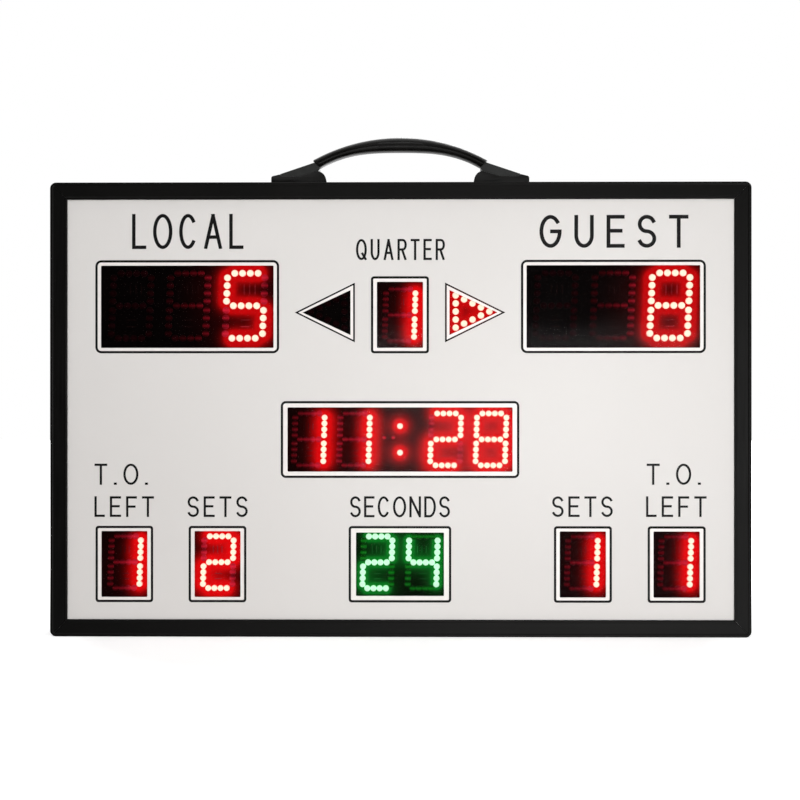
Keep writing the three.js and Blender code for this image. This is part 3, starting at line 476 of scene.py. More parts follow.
def piece(name, bm, finish, body="board", stands_for=(), smooth=32, bevel=0.0, steps=2):
    """Bevels sharp edges, smooths the rest and places the mesh, which is in millimetres."""
    if bevel:
        sharp = [e for e in bm.edges if len(e.link_faces) == 2 and e.calc_face_angle() > radians(32)]
        bmesh.ops.bevel(
            bm, geom=sharp, offset=bevel, segments=steps, profile=0.5, affect="EDGES", clamp_overlap=True,
        )
    bmesh.ops.recalc_face_normals(bm, faces=bm.faces)
    bmesh.ops.scale(bm, vec=(MM, MM, MM), verts=bm.verts)
    mesh = mesh_of(name, bm)
    mesh.materials.append(finish)
    mesh.shade_smooth()
    mesh.set_sharp_from_angle(angle=radians(smooth))
    made = placed(name, mesh)
    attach(made, body)
    if stands_for:
        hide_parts(*stands_for)
    return made


def bm_of(vertices, faces):
    bm = bmesh.new()
    made = [bm.verts.new(v) for v in vertices]
    for corners in faces:
        bm.faces.new([made[i] for i in corners])
    return bm


def moved(bm, matrix):
    bmesh.ops.transform(bm, matrix=matrix, verts=bm.verts)
    return bm


def joined(*parts):
    """One bmesh of several closed shells."""
    whole = bmesh.new()
    for part in parts:
        mesh = mesh_of("shell", part)
        whole.from_mesh(mesh)
        bpy.data.meshes.remove(mesh)
    return whole


def cut_out(bm, others):
    """A bmesh with others taken away from it."""
    def working(source):
        bmesh.ops.recalc_face_normals(source, faces=source.faces)
        return placed("working", mesh_of("working", source))

    base = working(bm)
    tools = [working(other) for other in others]
    for tool in tools:
        modifier = base.modifiers.new("boolean", "BOOLEAN")
        modifier.object = tool
        modifier.operation = "DIFFERENCE"
        modifier.solver = "EXACT"
    evaluated = base.evaluated_get(bpy.context.evaluated_depsgraph_get())
    result = bmesh.new()
    result.from_mesh(evaluated.to_mesh())
    evaluated.to_mesh_clear()
    for made in [base, *tools]:
        mesh = made.data
        bpy.data.objects.remove(made)
        bpy.data.meshes.remove(mesh)
    bmesh.ops.remove_doubles(result, verts=result.verts, dist=0.001)
    bmesh.ops.dissolve_limit(result, angle_limit=radians(1), verts=result.verts, edges=result.edges)
    return result


def lofted(rings, closed=False):
    """A skin over rings of as many points, capped at both ends or closed on itself."""
    count = len(rings[0])
    vertices = [v for ring in rings for v in ring]
    total = len(vertices)
    faces = [] if closed else [tuple(range(count)), tuple(range(total - count, total))]
    for start in range(0, total if closed else total - count, count):
        after = (start + count) % total
        for i in range(count):
            j = (i + 1) % count
            faces.append((start + i, start + j, after + j, after + i))
    return bm_of(vertices, faces)


def prism(outline, low, high):
    """A closed prism of an outline in X and Z, along Y."""
    return lofted([[(x, depth, z) for x, z in outline] for depth in (low, high)])


def crosswise(outline, low, high):
    """A closed prism of an outline in Y and Z, along X."""
    return lofted([[(across, y, z) for y, z in outline] for across in (low, high)])


def box_of(low, high):
    (x0, y0, z0), (x1, y1, z1) = low, high
    return prism([(x0, z0), (x1, z0), (x1, z1), (x0, z1)], y0, y1)


def turned(profile, sides=40):
    """A body of revolution along Y from points of radius and depth, both ends on the axis."""
    angles = [2 * pi * i / sides for i in range(sides)]
    rings = [[(r * cos(a), depth, r * sin(a)) for a in angles] for r, depth in profile[1:-1]]
    bm = lofted(rings)
    for end, faces in ((profile[0], list(bm.faces)[:1]), (profile[-1], list(bm.faces)[1:2])):
        made = bmesh.ops.poke(bm, faces=faces)
        made["verts"][0].co = Vector((0, end[1], 0))
    return bm


def rounded_loop(width, height, radius, x=0, z=0, arc=6, run=1):
    """Points of a rounded rectangle, with `arc` steps round each corner and `run` along each side."""
    corners = []
    for turn, (side_x, side_z) in enumerate(((1, 1), (-1, 1), (-1, -1), (1, -1))):
        centre = Vector((x + side_x * (width / 2 - radius), z + side_z * (height / 2 - radius)))
        angles = [(turn + i / arc) * pi / 2 for i in range(arc + 1)]
        corners.append([centre + radius * Vector((cos(a), sin(a))) for a in angles])
    points = []
    for corner, following in zip(corners, corners[1:] + corners[:1]):
        points += corner
        points += [corner[-1].lerp(following[0], i / run) for i in range(1, run)]
    return [tuple(point) for point in points]


def thickened(flat, triangles, y_front, y_back):
    """A flat sheet of triangles in X and Z, given thickness along Y."""
    count = len(flat)
    vertices = [(x, y, z) for y in (y_front, y_back) for x, z in flat]
    faces = [tuple(t) for t in triangles] + [tuple(i + count for i in t) for t in triangles]
    uses = {}
    for a, b, c in triangles:
        for edge in ((a, b), (b, c), (c, a)):
            uses.setdefault(tuple(sorted(edge)), []).append(edge)
    borders = [edges[0] for edges in uses.values() if len(edges) == 1]
    faces += [(a, b, b + count, a + count) for a, b in borders]
    return bm_of(vertices, faces)


def sheet_with_holes(loops, y_front, y_back):
    """A flat sheet: the first loop is its outline, the others are openings."""
    triangles = tessellate_polygon([[Vector((x, z, 0)) for x, z in loop] for loop in loops])
    return thickened([point for loop in loops for point in loop], triangles, y_front, y_back)


def ring_of(outer, inner, y_front, y_back):
    """A flat ring between two loops of as many points."""
    return lofted([
        [(a, y_front, b), (c, y_front, d), (c, y_back, d), (a, y_back, b)]
        for (a, b), (c, d) in zip(outer, inner)
    ], closed=True)


def keep_glow(made, values):
    """Stores one number per vertex for the material to read."""
    layer = made.data.attributes.new("glow", "FLOAT", "POINT")
    layer.data.foreach_set("value", np.asarray(values, dtype=np.float32))


def points_of(made):
    """A piece's vertices in millimetres."""
    coordinates = np.empty(3 * len(made.data.vertices), dtype=np.float32)
    made.data.vertices.foreach_get("co", coordinates)
    return coordinates.reshape(-1, 3).astype(float) / MM


# Frame rails: one section with two crowned beads and a shallow channel between them
def crown(start, width, depth):
    """Points of a bead's rounded front, from one side to the other."""
    steps = [i / CROWN_STEPS for i in range(CROWN_STEPS + 1)]
    return [(start + width * s, depth * (1 - sin(pi * s) ** CROWN_POWER)) for s in steps]


def rail_section():
    web_front = FILTER_BACK - FRONT + SHEET_PLAY
    ledge_back = BOARD_DEPTH - REAR_RECESS - BACK_THICKNESS
    edge = BOARD_DEPTH - BACK_CHAMFER
    section = crown(0, OUTER_CROWN, CHANNEL_DEPTH)
    section += crown(LIP_WIDTH - INNER_CROWN, INNER_CROWN, CHANNEL_DEPTH)
    section += [(LIP_WIDTH, LIP_THICKNESS), (RAIL_WALL, LIP_THICKNESS)]
    for near in (web_front, ledge_back - FLANGE_THICKNESS):
        far = near + FLANGE_THICKNESS
        section += [(RAIL_WALL, near), (FLANGE_REACH, near), (FLANGE_REACH, far), (RAIL_WALL, far)]
    section += [(RAIL_WALL, edge), (RAIL_WALL - BACK_CHAMFER, BOARD_DEPTH)]
    return section + [(BACK_CHAMFER, BOARD_DEPTH), (0, edge)]


def rail_stations(inward, length, steps=5):
    """Places along half a rail, from its middle to the mitre, round the corner for the outer points."""
    half = length / 2
    if inward >= CORNER_RADIUS:
        start = half - LIP_WIDTH - 1
        stride = (half - inward - start) / steps
        return [(0, inward)] + [(start + stride * i, inward) for i in range(steps + 1)]
    radius = CORNER_RADIUS - inward
    places = [(0, inward)]
    for i in range(steps + 1):
        angle = pi / 4 * i / steps
        x = half - CORNER_RADIUS + radius * sin(angle)
        places.append((x, CORNER_RADIUS - radius * cos(angle)))
    return places


def rail(length):
    """A rail along X with its outer side down, mitred at both ends."""
    section = rail_section()
    half = [rail_stations(inward, length) for inward, _ in section]
    last = len(half[0]) - 1
    slices = []
    for side, stations in ((-1, range(last, 0, -1)), (1, range(last + 1))):
        for station in stations:
            gap = MITRE_GAP if station == last else 0
            line = zip((places[station] for places in half), section)
            slices.append([(side * (x - gap), FRONT + depth, inward) for (x, inward), (_, depth) in line])
    return lofted(slices)


def build_frame():
    middle = BOARD_HEIGHT / 2
    sides = (("bottom", 0, 0, 0), ("top", 2, 0, BOARD_HEIGHT),
             ("left", 1, -BOARD_WIDTH / 2, middle), ("right", -1, BOARD_WIDTH / 2, middle))
    for side, turns, x, z in sides:
        length, finish = (BOARD_HEIGHT, frame_upright) if turns % 2 else (BOARD_WIDTH, frame_across)
        place = Matrix.Translation((x, 0, z)) @ Matrix.Rotation(turns * pi / 2, 4, "Y")
        bm = moved(rail(length), place)
        piece("frame_rail_" + side, bm, finish, stands_for=["rail_" + side], smooth=28)


# Face: the printed sheet, its lines and bands, and the smoked sheet
def triangle_loop(side, base, tip, height, run=1):
    ends = ((base, -height / 2), (tip, 0), (base, height / 2))
    corners = [Vector((side * x, ARROW_LEVEL + z)) for x, z in ends]
    sides = zip(corners, corners[1:] + corners[:1])
    return [tuple(start.lerp(end, k / run)) for start, end in sides for k in range(run)]


def arrow_loops(side, run):
    """An arrow's loops: opening, edge of the white band, outer edge of the line."""
    opening = triangle_loop(side, ARROW_BASE, ARROW_BASE + ARROW_LENGTH, ARROW_HEIGHT, run)
    line = triangle_loop(side, ARROW_LINE_BASE, ARROW_LINE_TIP, ARROW_LINE_HEIGHT, run)
    centre = Vector((side * (ARROW_LINE_BASE + (ARROW_LINE_TIP - ARROW_LINE_BASE) / 3), ARROW_LEVEL))
    band = [tuple(centre.lerp(Vector(point), ARROW_LINE_SHARE)) for point in line]
    return opening, band, line


def window_loops(window, run):
    """A window's loops: opening, edge of the white band, outer edge of the line."""
    width = window.width + 2 * window.line_margins[0]
    height = window.height + 2 * window.line_margins[1]
    place = (window.x, window.z, 6, run)
    opening = rounded_loop(window.width, window.height, WINDOW_RADIUS, *place)
    inner = max(window.corner - LINE_WIDTH, 1.2)
    band = rounded_loop(width - 2 * LINE_WIDTH, height - 2 * LINE_WIDTH, inner, *place)
    return opening, band, rounded_loop(width, height, window.corner, *place)


def build_print(name, loops, lit, band_ink_with_painted_glow, line_ink_painted_glow=None):
    opening, band, line = loops
    front = FACE_FRONT - PRINT_THICKNESS
    outer = piece("print_line_" + name, ring_of(line, band, front, FACE_FRONT), line_ink_painted_glow or black_ink)
    white = piece("print_band_" + name, ring_of(band, opening, front, FACE_FRONT), band_ink_with_painted_glow)
    # Painted lamp glow on the white band, strongest near the lit lamps
    keep_glow(white, BAND_GLOW * ink_glow(points_of(white), lit))
    # Painted red lamp glow on the black line, where an ink for it is given
    if line_ink_painted_glow:
        keep_glow(outer, LINE_GLOW * ink_glow(points_of(outer), lit))


def build_face():
    loops = [rounded_loop(SHEET_WIDTH, SHEET_HEIGHT, CORNER_RADIUS - RAIL_WALL, 0, BOARD_HEIGHT / 2)]
    for window in WINDOWS:
        loops.append(window_loops(window, 1)[0])
        # The band's ink carries painted glow in the colour of the window's lamps
        band_ink_with_painted_glow = band_ink_painted_green_glow if window.green else band_ink_painted_red_glow
        build_print(window.name, window_loops(window, LINE_STEPS), window_lamps(window)[0], band_ink_with_painted_glow)
    # Only the lit right arrow's line gets the ink with painted red glow
    arrows = (("left", -1, [], None), ("right", 1, arrow_lamps(1), black_ink_painted_red_glow))
    for name, side, lit, line_ink_painted_glow in arrows:
        loops.append(arrow_loops(side, 1)[0])
        build_print("arrow_" + name, arrow_loops(side, LINE_STEPS), lit, band_ink_painted_red_glow, line_ink_painted_glow)
    piece("face_sheet", sheet_with_holes(loops, FACE_FRONT, FACE_BACK), face, stands_for=["face_panel"])
    piece("smoked_window_sheet", sheet_with_holes(loops[:1], FACE_BACK, FILTER_BACK), smoke,
          stands_for=["filter_sheet"])


# Capitals as strokes of even width in a unit square, after each one's width next to the others
def bow(x, z, radius_x, radius_z, start, end, steps=20):
    """Points on an ellipse's arc, with its angles in degrees."""
    angles = [radians(start + (end - start) * i / steps) for i in range(steps + 1)]
    return [(x + radius_x * cos(a), z + radius_z * sin(a)) for a in angles]


STEM = [(0, 0), (0, 1)]
RING = bow(0.5, 0.5, 0.5, 0.5, 0, 360, 48)
LETTERS = {
    ".": (0.14, [[(0, 0), (1, 0)]]),
    "A": (0.66, [[(0.03, 0), (0.5, 1)], [(0.5, 1), (0.97, 0)], [(0.2, 0.32), (0.8, 0.32)]]),
    "C": (0.62, [bow(0.5, 0.5, 0.5, 0.5, 42, 318, 36)]),
    "D": (0.6, [STEM, [(0, 1), *bow(0.45, 0.5, 0.55, 0.5, 90, -90), (0, 0)]]),
    "E": (0.54, [STEM, [(0, 1), (1, 1)], [(0, 0.52), (0.85, 0.52)], [(0, 0), (1, 0)]]),
    "F": (0.52, [STEM, [(0, 1), (1, 1)], [(0, 0.5), (0.85, 0.5)]]),
    "G": (0.66, [bow(0.5, 0.5, 0.5, 0.5, 42, 360, 40), [(1, 0.5), (0.58, 0.5)]]),
    "L": (0.5, [[(0, 1), (0, 0), (1, 0)]]),
    "N": (0.6, [STEM, [(0.06, 0.95), (0.94, 0.05)], [(1, 0), (1, 1)]]),
    "O": (0.68, [RING]),
    "Q": (0.7, [RING, [(0.62, 0.28), (0.98, 0)]]),
    "R": (0.6, [STEM, [(0, 1), *bow(0.6, 0.75, 0.4, 0.25, 90, -90), (0, 0.5)], [(0.5, 0.5), (0.95, 0)]]),
    "S": (0.56, [[*bow(0.5, 0.75, 0.48, 0.25, 25, 270), *bow(0.5, 0.25, 0.5, 0.25, 90, -155)[1:]]]),
    "T": (0.58, [[(0, 1), (1, 1)], [(0.5, 1), (0.5, 0)]]),
    "U": (0.58, [[(0, 1), *bow(0.5, 0.36, 0.5, 0.36, 180, 360), (1, 1)]]),
}


Caption = namedtuple("Caption", "name words x z width height stroke gap")
CAPTIONS = [
    Caption("left", "LOCAL", -212.3, 405.1, 111.7, 35.1, 3.5, 6.8),
    Caption("right", "GUEST", 213.4, 404.7, 148.4, 32.8, 3.8, 12.7),
    Caption("middle", "QUARTER", 0.5, 386.8, 88.9, 21.1, 2.3, 3.8),
    Caption("timeout_left_upper", "T.O.", -279.0, 162.2, 53.7, 21.2, 2.3, 6.5),
    Caption("timeout_left_lower", "LEFT", -276.0, 129.8, 59.7, 20.7, 2.3, 5),
    Caption("timeout_right_upper", "T.O.", 273.0, 162.5, 54, 21.1, 2.3, 6.5),
    Caption("timeout_right_lower", "LEFT", 275.5, 130.2, 60.3, 20.6, 2.3, 5),
    Caption("foul_left", "SETS", -182.45, 129.8, 60.4, 20.7, 2.3, 4.7),
    Caption("foul_right", "SETS", 182.0, 130.1, 60.6, 20.6, 2.3, 4.7),
    Caption("shot", "SECONDS", 0, 129.8, 99.9, 21, 2.3, 3.2),
]


def stroke_pieces(line, half):
    """Four-cornered pieces of a stroke along a line, with mitred bends and square ends."""
    headings = [(end - start).normalized() for start, end in zip(line, line[1:])]
    if (line[0] - line[-1]).length < half / 10:
        before, after = headings[-1:] + headings, headings + headings[:1]
    else:
        line = [line[0] - half * headings[0], *line[1:-1], line[-1] + half * headings[-1]]
        before, after = headings[:1] + headings, headings + headings[-1:]
    edges = []
    for point, arriving, leaving in zip(line, before, after):
        along = (arriving + leaving).normalized()
        reach = half / along.dot(leaving) * Vector((-along.y, along.x))
        edges.append((point + reach, point - reach))
    return [[a, b, d, c] for (a, b), (c, d) in zip(edges, edges[1:])]


def trimmed(corners, low, high):
    """A convex outline cut off below one height and above another."""
    for level, sign in ((low, 1), (high, -1)):
        kept = []
        for start, end in zip(corners, corners[1:] + corners[:1]):
            start_in, end_in = (sign * (point.y - level) >= 0 for point in (start, end))
            if start_in:
                kept.append(start)
            if start_in != end_in:
                kept.append(start.lerp(end, (level - start.y) / (end.y - start.y)))
        corners = kept
    return corners


def build_caption(caption):
    half = caption.stroke / 2
    shares = [LETTERS[letter][0] for letter in caption.words]
    scale = (caption.width - (len(shares) - 1) * caption.gap) / sum(shares)
    left, low = caption.x - caption.width / 2, caption.z - caption.height / 2
    outlines = []
    for letter, share in zip(caption.words, shares):
        reach = Vector((share * scale - caption.stroke, caption.height - caption.stroke))
        start = Vector((left + half, low + half))
        for stroke in LETTERS[letter][1]:
            line = [start + Vector(point) * reach for point in stroke]
            outlines += [trimmed(p, low, low + caption.height) for p in stroke_pieces(line, half)]
        left += share * scale + caption.gap
    corners = [corner for outline in outlines for corner in outline]
    starts = np.cumsum([0] + [len(outline) for outline in outlines])
    faces = [list(range(a, b)) for a, b in zip(starts, starts[1:])]
    flat, _, triangles, _, _, sources = delaunay_2d_cdt(corners, [], faces, 0, 0.0001)
    covered = [triangle for triangle, source in zip(triangles, sources) if source]
    bm = thickened([tuple(point) for point in flat], covered, FACE_FRONT - PRINT_THICKNESS, FACE_FRONT)
    bmesh.ops.delete(bm, geom=[v for v in bm.verts if not v.link_faces], context="VERTS")
    piece("caption_" + caption.name, bm, black_ink)


# Circuit boards with their lamps
def board_grid(x, z, width, height):
    """A board whose front is a fine grid, so that the lamps' light can be kept on it."""
    upright = Matrix.Rotation(pi / 2, 4, "X")
    size = Matrix.Diagonal((width / 2, height / 2, 1, 1))
    bm = bmesh.new()
    bmesh.ops.create_grid(
        bm, x_segments=round(width / BOARD_STEP), y_segments=round(height / BOARD_STEP), size=1,
        matrix=Matrix.Translation((x, CIRCUIT_FRONT, z)) @ upright @ size,
    )
    rim = [edge for edge in bm.edges if edge.is_boundary]
    made = bmesh.ops.extrude_edge_only(bm, edges=rim)["geom"]
    corners = [item for item in made if isinstance(item, bmesh.types.BMVert)]
    bmesh.ops.translate(bm, verts=corners, vec=(0, CIRCUIT_BACK - CIRCUIT_FRONT, 0))
    bmesh.ops.contextual_create(bm, geom=[edge for edge in bm.edges if edge.is_boundary])
    return bm


LENS_RINGS = [(1.0, 0.0), (1.0, 0.45), (0.93, 0.66), (0.76, 0.84), (0.5, 0.95), (0.22, 0.99)]
LENS_SIDES = 16
RIM_POWER = 4
GLINT_HEIGHT = 1.3


def lens_mesh(places, radius):
    """Domed lamps at the places, in one mesh, and for each vertex its place within its lamp."""
    height = CIRCUIT_FRONT - LAMP_TIP
    profile = [(radius * share, CIRCUIT_FRONT - height * rise) for share, rise in LENS_RINGS]
    lens = turned([(0, CIRCUIT_FRONT), *profile, (0, LAMP_TIP)], LENS_SIDES)
    lens.verts.index_update()
    offsets = [v.co.copy() for v in lens.verts]
    corners = [[v.index for v in f.verts] for f in lens.faces]
    lens.free()
    vertices = [offset + Vector((x, 0, z)) for x, z in places for offset in offsets]
    faces = [[i + k * len(offsets) for i in face] for k in range(len(places)) for face in corners]
    return bm_of(vertices, faces), np.array([(v.x, v.z) for v in offsets] * len(places))


def build_lit_lenses(name, places, radius, finish):
    bm, offsets = lens_mesh(places, radius)
    made = piece("lamps_lit_" + name, bm, finish, smooth=60)
    keep_glow(made, 1 - (np.hypot(*offsets.T) / radius) ** RIM_POWER)


def build_dark_lenses(name, places, lit, radius, finish, caught, through):
    """Unlit lamps with a flat glint across the middle, and the board's light showing through."""
    bm, offsets = lens_mesh(places, radius)
    made = piece("lamps_dark_" + name, bm, finish, smooth=60)
    points = points_of(made)
    glint = GLINT_FLOOR + np.exp(-(offsets[:, 1] / GLINT_HEIGHT) ** 2)
    sideways = (STRAY_GLOW + caught * lens_glow(points, lit)) * glint
    behind = board_glow(points, lit, THROUGH_REACH, THROUGH_STROKES)
    keep_glow(made, sideways + through * behind)


def resistor(x, z, upright, length, radius):
    """A small axial resistor on the board: a waisted body between two leads."""
    half = [(0, -0.5), (0.22, -0.5), (0.22, -0.36), (0.8, -0.34), (1, -0.27), (0.8, -0.2)]
    profile = half + [(r, -t) for r, t in reversed(half)]
    bm = turned([(radius * r, length * t) for r, t in profile], 8)
    lay = Matrix.Rotation(pi / 2, 4, "X" if upright else "Z")
    return moved(bm, Matrix.Translation((x, CIRCUIT_FRONT - 0.8 * radius, z)) @ lay)


def digit_resistors(x, z, digit, start):
    """Three upright resistors in the upper loop and two lying ones in the lower loop."""
    length = 0.17 * digit.height
    upper = z + digit.height / 4
    places = [(x + start + i * digit.mark_pitch, upper, True) for i in range(3)]
    places += [(x, z - share * digit.height, False) for share in (0.22, 0.32)]
    return [resistor(*place, length, digit.mark_radius) for place in places]


def lamp_board(name, look, place, size, lit, dark, radius, reach):
    """A circuit board behind an opening, with its lit and unlit lamps. Only its front glows."""
    grid = board_grid(*place, *(length + 2 * CIRCUIT_MARGIN for length in size))
    board = piece("board_" + name, grid, look.board, stands_for=["led_board_" + name])
    points = points_of(board)
    is_front = points[:, 1] < (CIRCUIT_FRONT + CIRCUIT_BACK) / 2
    keep_glow(board, look.shine * is_front * board_glow(points, lit, reach, look.loops))
    if lit:
        build_lit_lenses(name, lit, radius, look.lit)
    if dark:
        build_dark_lenses(name, dark, lit, radius, look.dark, look.caught, look.through)


def build_display(window):
    name, digit, level = window.name, window.digit, window.z + window.rise
    look = GREEN if window.green else SMALL_RED if digit is SMALL else RED
    lit, dark = window_lamps(window)
    lamp_board(name, look, (window.x, window.z), (window.width, window.height), lit, dark,
               digit.lens_radius, digit.glow_reach)
    if name == "clock":
        dots = [(x, level + DOT_RISE) for x in DOT_PLACES]
        build_dark_lenses("clock_dots", dots, lit, DOT_RADIUS, look.dark, DOT_CAUGHT, DOT_THROUGH)
    parts = [r for centre in window.centres
             for r in digit_resistors(window.x + centre, level, digit, window.mark_start)]
    parts = piece("resistors_" + name, joined(*parts), look.part)
    # Painted glow of the lit lamps on the resistors
    glow = board_glow(points_of(parts), lit, PART_REACH_SHARE * digit.glow_reach, RED.loops)
    keep_glow(parts, PART_GLOW * glow + PART_STRAY_GLOW)


def build_arrow_display(name, side, lit):
    dark = [] if lit else arrow_lamps(side)
    middle = (side * (ARROW_BASE + ARROW_LENGTH / 2), ARROW_LEVEL)
    lamp_board("arrow_" + name, RED, middle, (ARROW_LENGTH, ARROW_HEIGHT), lit, dark,
               ARROW_LENS, SMALL.glow_reach)


# Handle, in heights above the top rail
HANDLE_HALF = 130
GRIP_HALF_TOP = 88.6
GRIP_HALF_BOTTOM = 81.2
GRIP_TOP = 47.7
GRIP_THICKNESS = 14.6
GRIP_END_TOP = 24.8
GRIP_END_BOTTOM = 16.8
GRIP_LOWER_POWER = 3
GRIP_WIDTH = 24
GRIP_STEPS = 72
GRIP_POWERS = (0.72, 0.8)
GROOVE_DEPTH = 1.2
GROOVE_SHARE = 0.11
STRAP_WIDTH = 17
STRAP_THICKNESS = 1.6
STRAP_PLAY = 0.5
STRAP_END_SHARE = 0.97
KNOB_LENGTH = 8.5
KNOB_HEIGHT = 8.4
KNOB_MOUTH_HEIGHT = 9.9
KNOB_ROUND = 2.4
TIP_REACH = 4.5
TIP_LOW = 1.8
TIP_HIGH = 3.8
TONGUE_ROOT_TOP = 22.2
TONGUE_ROOT_BOTTOM = 16
TONGUE_MOUTH_TOP = 10.6
TONGUE_KNEE = 101.3
TONGUE_KNEE_HEIGHT = 7.2
TONGUE_GAP = 0.4
HANDLE_LIFT = 2
POCKET_MOUTH = HANDLE_HALF - KNOB_LENGTH
SOCKET_INNER = 74
SOCKET_WIDTH = 25
SOCKET_FLOOR = 1.5
SOCKET_WALL_TOP = 7.8
NOSE_HEIGHT = 13.2
NOSE_LENGTH = 8.5
NOSE_CURVE_SHARE = 0.85


def grip_line(share):
    """Top and bottom points of the grip's side view at a share from -1 to 1 along it."""
    rise = GRIP_TOP - GRIP_END_TOP
    radius = (GRIP_HALF_TOP ** 2 + rise ** 2) / (2 * rise)
    angle = share * asin(GRIP_HALF_TOP / radius)
    top = Vector((radius * sin(angle), GRIP_TOP - radius * (1 - cos(angle))))
    underside = GRIP_TOP - GRIP_THICKNESS
    drop = (underside - GRIP_END_BOTTOM) * abs(share) ** GRIP_LOWER_POWER
    return top, Vector((share * GRIP_HALF_BOTTOM, underside - drop))


def grip_ring(share, shrink=1.0, groove=1.0, steps=40):
    """Points round the grip, a rounded section with a groove along each side."""
    top, bottom = grip_line(share)
    middle, half = (top + bottom) / 2, (top - bottom) / 2
    ring = []
    for i in range(steps):
        angle = 2 * pi * i / steps
        across, up = (
            copysign(abs(value) ** power, value)
            for value, power in zip((cos(angle), sin(angle)), GRIP_POWERS)
        )
        y = across * (GRIP_WIDTH / 2) * shrink
        if abs(across) > 0.5:
            y -= copysign(groove * GROOVE_DEPTH * exp(-(up / GROOVE_SHARE) ** 2), across)
        point = middle + half * up * shrink
        ring.append((point.x, y, BOARD_HEIGHT + point.y))
    return ring


def build_grip():
    ends = [(1, 0.9, 0), (0.997, 0.96, 0.5)]
    rings = [grip_ring(-share, shrink, groove) for share, shrink, groove in ends]
    rings += [grip_ring(-0.99 + 1.98 * i / GRIP_STEPS) for i in range(GRIP_STEPS + 1)]
    rings += [grip_ring(*end) for end in reversed(ends)]
    piece("handle_grip_moulded", lofted(rings), grip_plastic, "handle", ["handle_grip"], smooth=50)


def grip_end_at(height):
    share = (height - GRIP_END_BOTTOM) / (GRIP_END_TOP - GRIP_END_BOTTOM)
    return GRIP_HALF_BOTTOM + share * (GRIP_HALF_TOP - GRIP_HALF_BOTTOM)


def build_strap(steps=24):
    """A thin arch inside the grip that widens into a wedge-shaped tongue at each end."""
    reach = (GRIP_HALF_TOP + GRIP_HALF_BOTTOM) / 2
    band = []
    for i in range(steps + 1):
        share = STRAP_END_SHARE * (2 * i / steps - 1)
        top, bottom = grip_line(share)
        band.append((share * reach, (top.y + bottom.y) / 2))
    tongue = [
        (grip_end_at(TONGUE_ROOT_TOP) + TONGUE_GAP, TONGUE_ROOT_TOP),
        (POCKET_MOUTH - SHEET_PLAY, TONGUE_MOUTH_TOP),
        (POCKET_MOUTH - SHEET_PLAY, TIP_HIGH),
        (POCKET_MOUTH + TIP_REACH, TIP_HIGH),
        (POCKET_MOUTH + TIP_REACH, TIP_LOW),
        (POCKET_MOUTH - TIP_REACH / 2, TIP_LOW),
        (TONGUE_KNEE, TONGUE_KNEE_HEIGHT),
        (SOCKET_INNER + NOSE_LENGTH + 2 * SHEET_PLAY, NOSE_HEIGHT + SHEET_PLAY),
        (grip_end_at(TONGUE_ROOT_BOTTOM) + TONGUE_GAP, TONGUE_ROOT_BOTTOM),
    ]
    upper = [(x, z + STRAP_THICKNESS / 2) for x, z in band]
    lower = [(x, z - STRAP_THICKNESS / 2) for x, z in reversed(band)]
    outline = [(-x, z) for x, z in reversed(tongue)] + upper + tongue + lower
    bm = prism([(x, BOARD_HEIGHT + z) for x, z in outline], -STRAP_WIDTH / 2, STRAP_WIDTH / 2)
    piece("handle_strap_moulded", bm, tongue_plastic, "handle", ["handle_strap"], bevel=0.5, steps=3)


def socket_profile(steps=8):
    """The socket's side view, from its foot round its knob to its nose."""
    points = [(SOCKET_INNER, 0), (HANDLE_HALF, 0)]
    for i in range(steps + 1):
        angle = pi / 2 * i / steps
        points.append((HANDLE_HALF - KNOB_ROUND * (1 - cos(angle)),
                       KNOB_HEIGHT - KNOB_ROUND * (1 - sin(angle))))
    points += [(POCKET_MOUTH, KNOB_MOUTH_HEIGHT), (POCKET_MOUTH - KNOB_ROUND, SOCKET_WALL_TOP),
               (TONGUE_KNEE, SOCKET_WALL_TOP)]
    start = Vector((SOCKET_INNER + NOSE_LENGTH, NOSE_HEIGHT))
    bend = Vector((SOCKET_INNER, NOSE_CURVE_SHARE * NOSE_HEIGHT))
    end = Vector((SOCKET_INNER, 0))
    for t in np.linspace(0, 1, steps, endpoint=False):
        points.append(tuple(start * (1 - t) ** 2 + bend * 2 * t * (1 - t) + end * t ** 2))
    return [(x, BOARD_HEIGHT + z) for x, z in points]


def build_sockets():
    floor = BOARD_HEIGHT + SOCKET_FLOOR
    reach = STRAP_WIDTH / 2 + STRAP_PLAY
    pocket_end = POCKET_MOUTH + TIP_REACH + STRAP_PLAY
    pocket_top = BOARD_HEIGHT + TIP_HIGH + HANDLE_LIFT + SHEET_PLAY
    for suffix, turn in (("right", 0), ("left", pi)):
        body = prism(socket_profile(), -SOCKET_WIDTH / 2, SOCKET_WIDTH / 2)
        tray_start = SOCKET_INNER + NOSE_LENGTH + SHEET_PLAY
        tray = box_of((tray_start, -reach, floor), (POCKET_MOUTH, reach, floor + NOSE_HEIGHT))
        pocket = box_of((POCKET_MOUTH - 1, -reach, floor), (pocket_end, reach, pocket_top))
        socket = moved(cut_out(body, [tray, pocket]), Matrix.Rotation(turn, 4, "Z"))
        piece("handle_socket_moulded_" + suffix, socket, black_plastic, "board",
              ["handle_socket_" + suffix], bevel=0.6, steps=3, smooth=40)


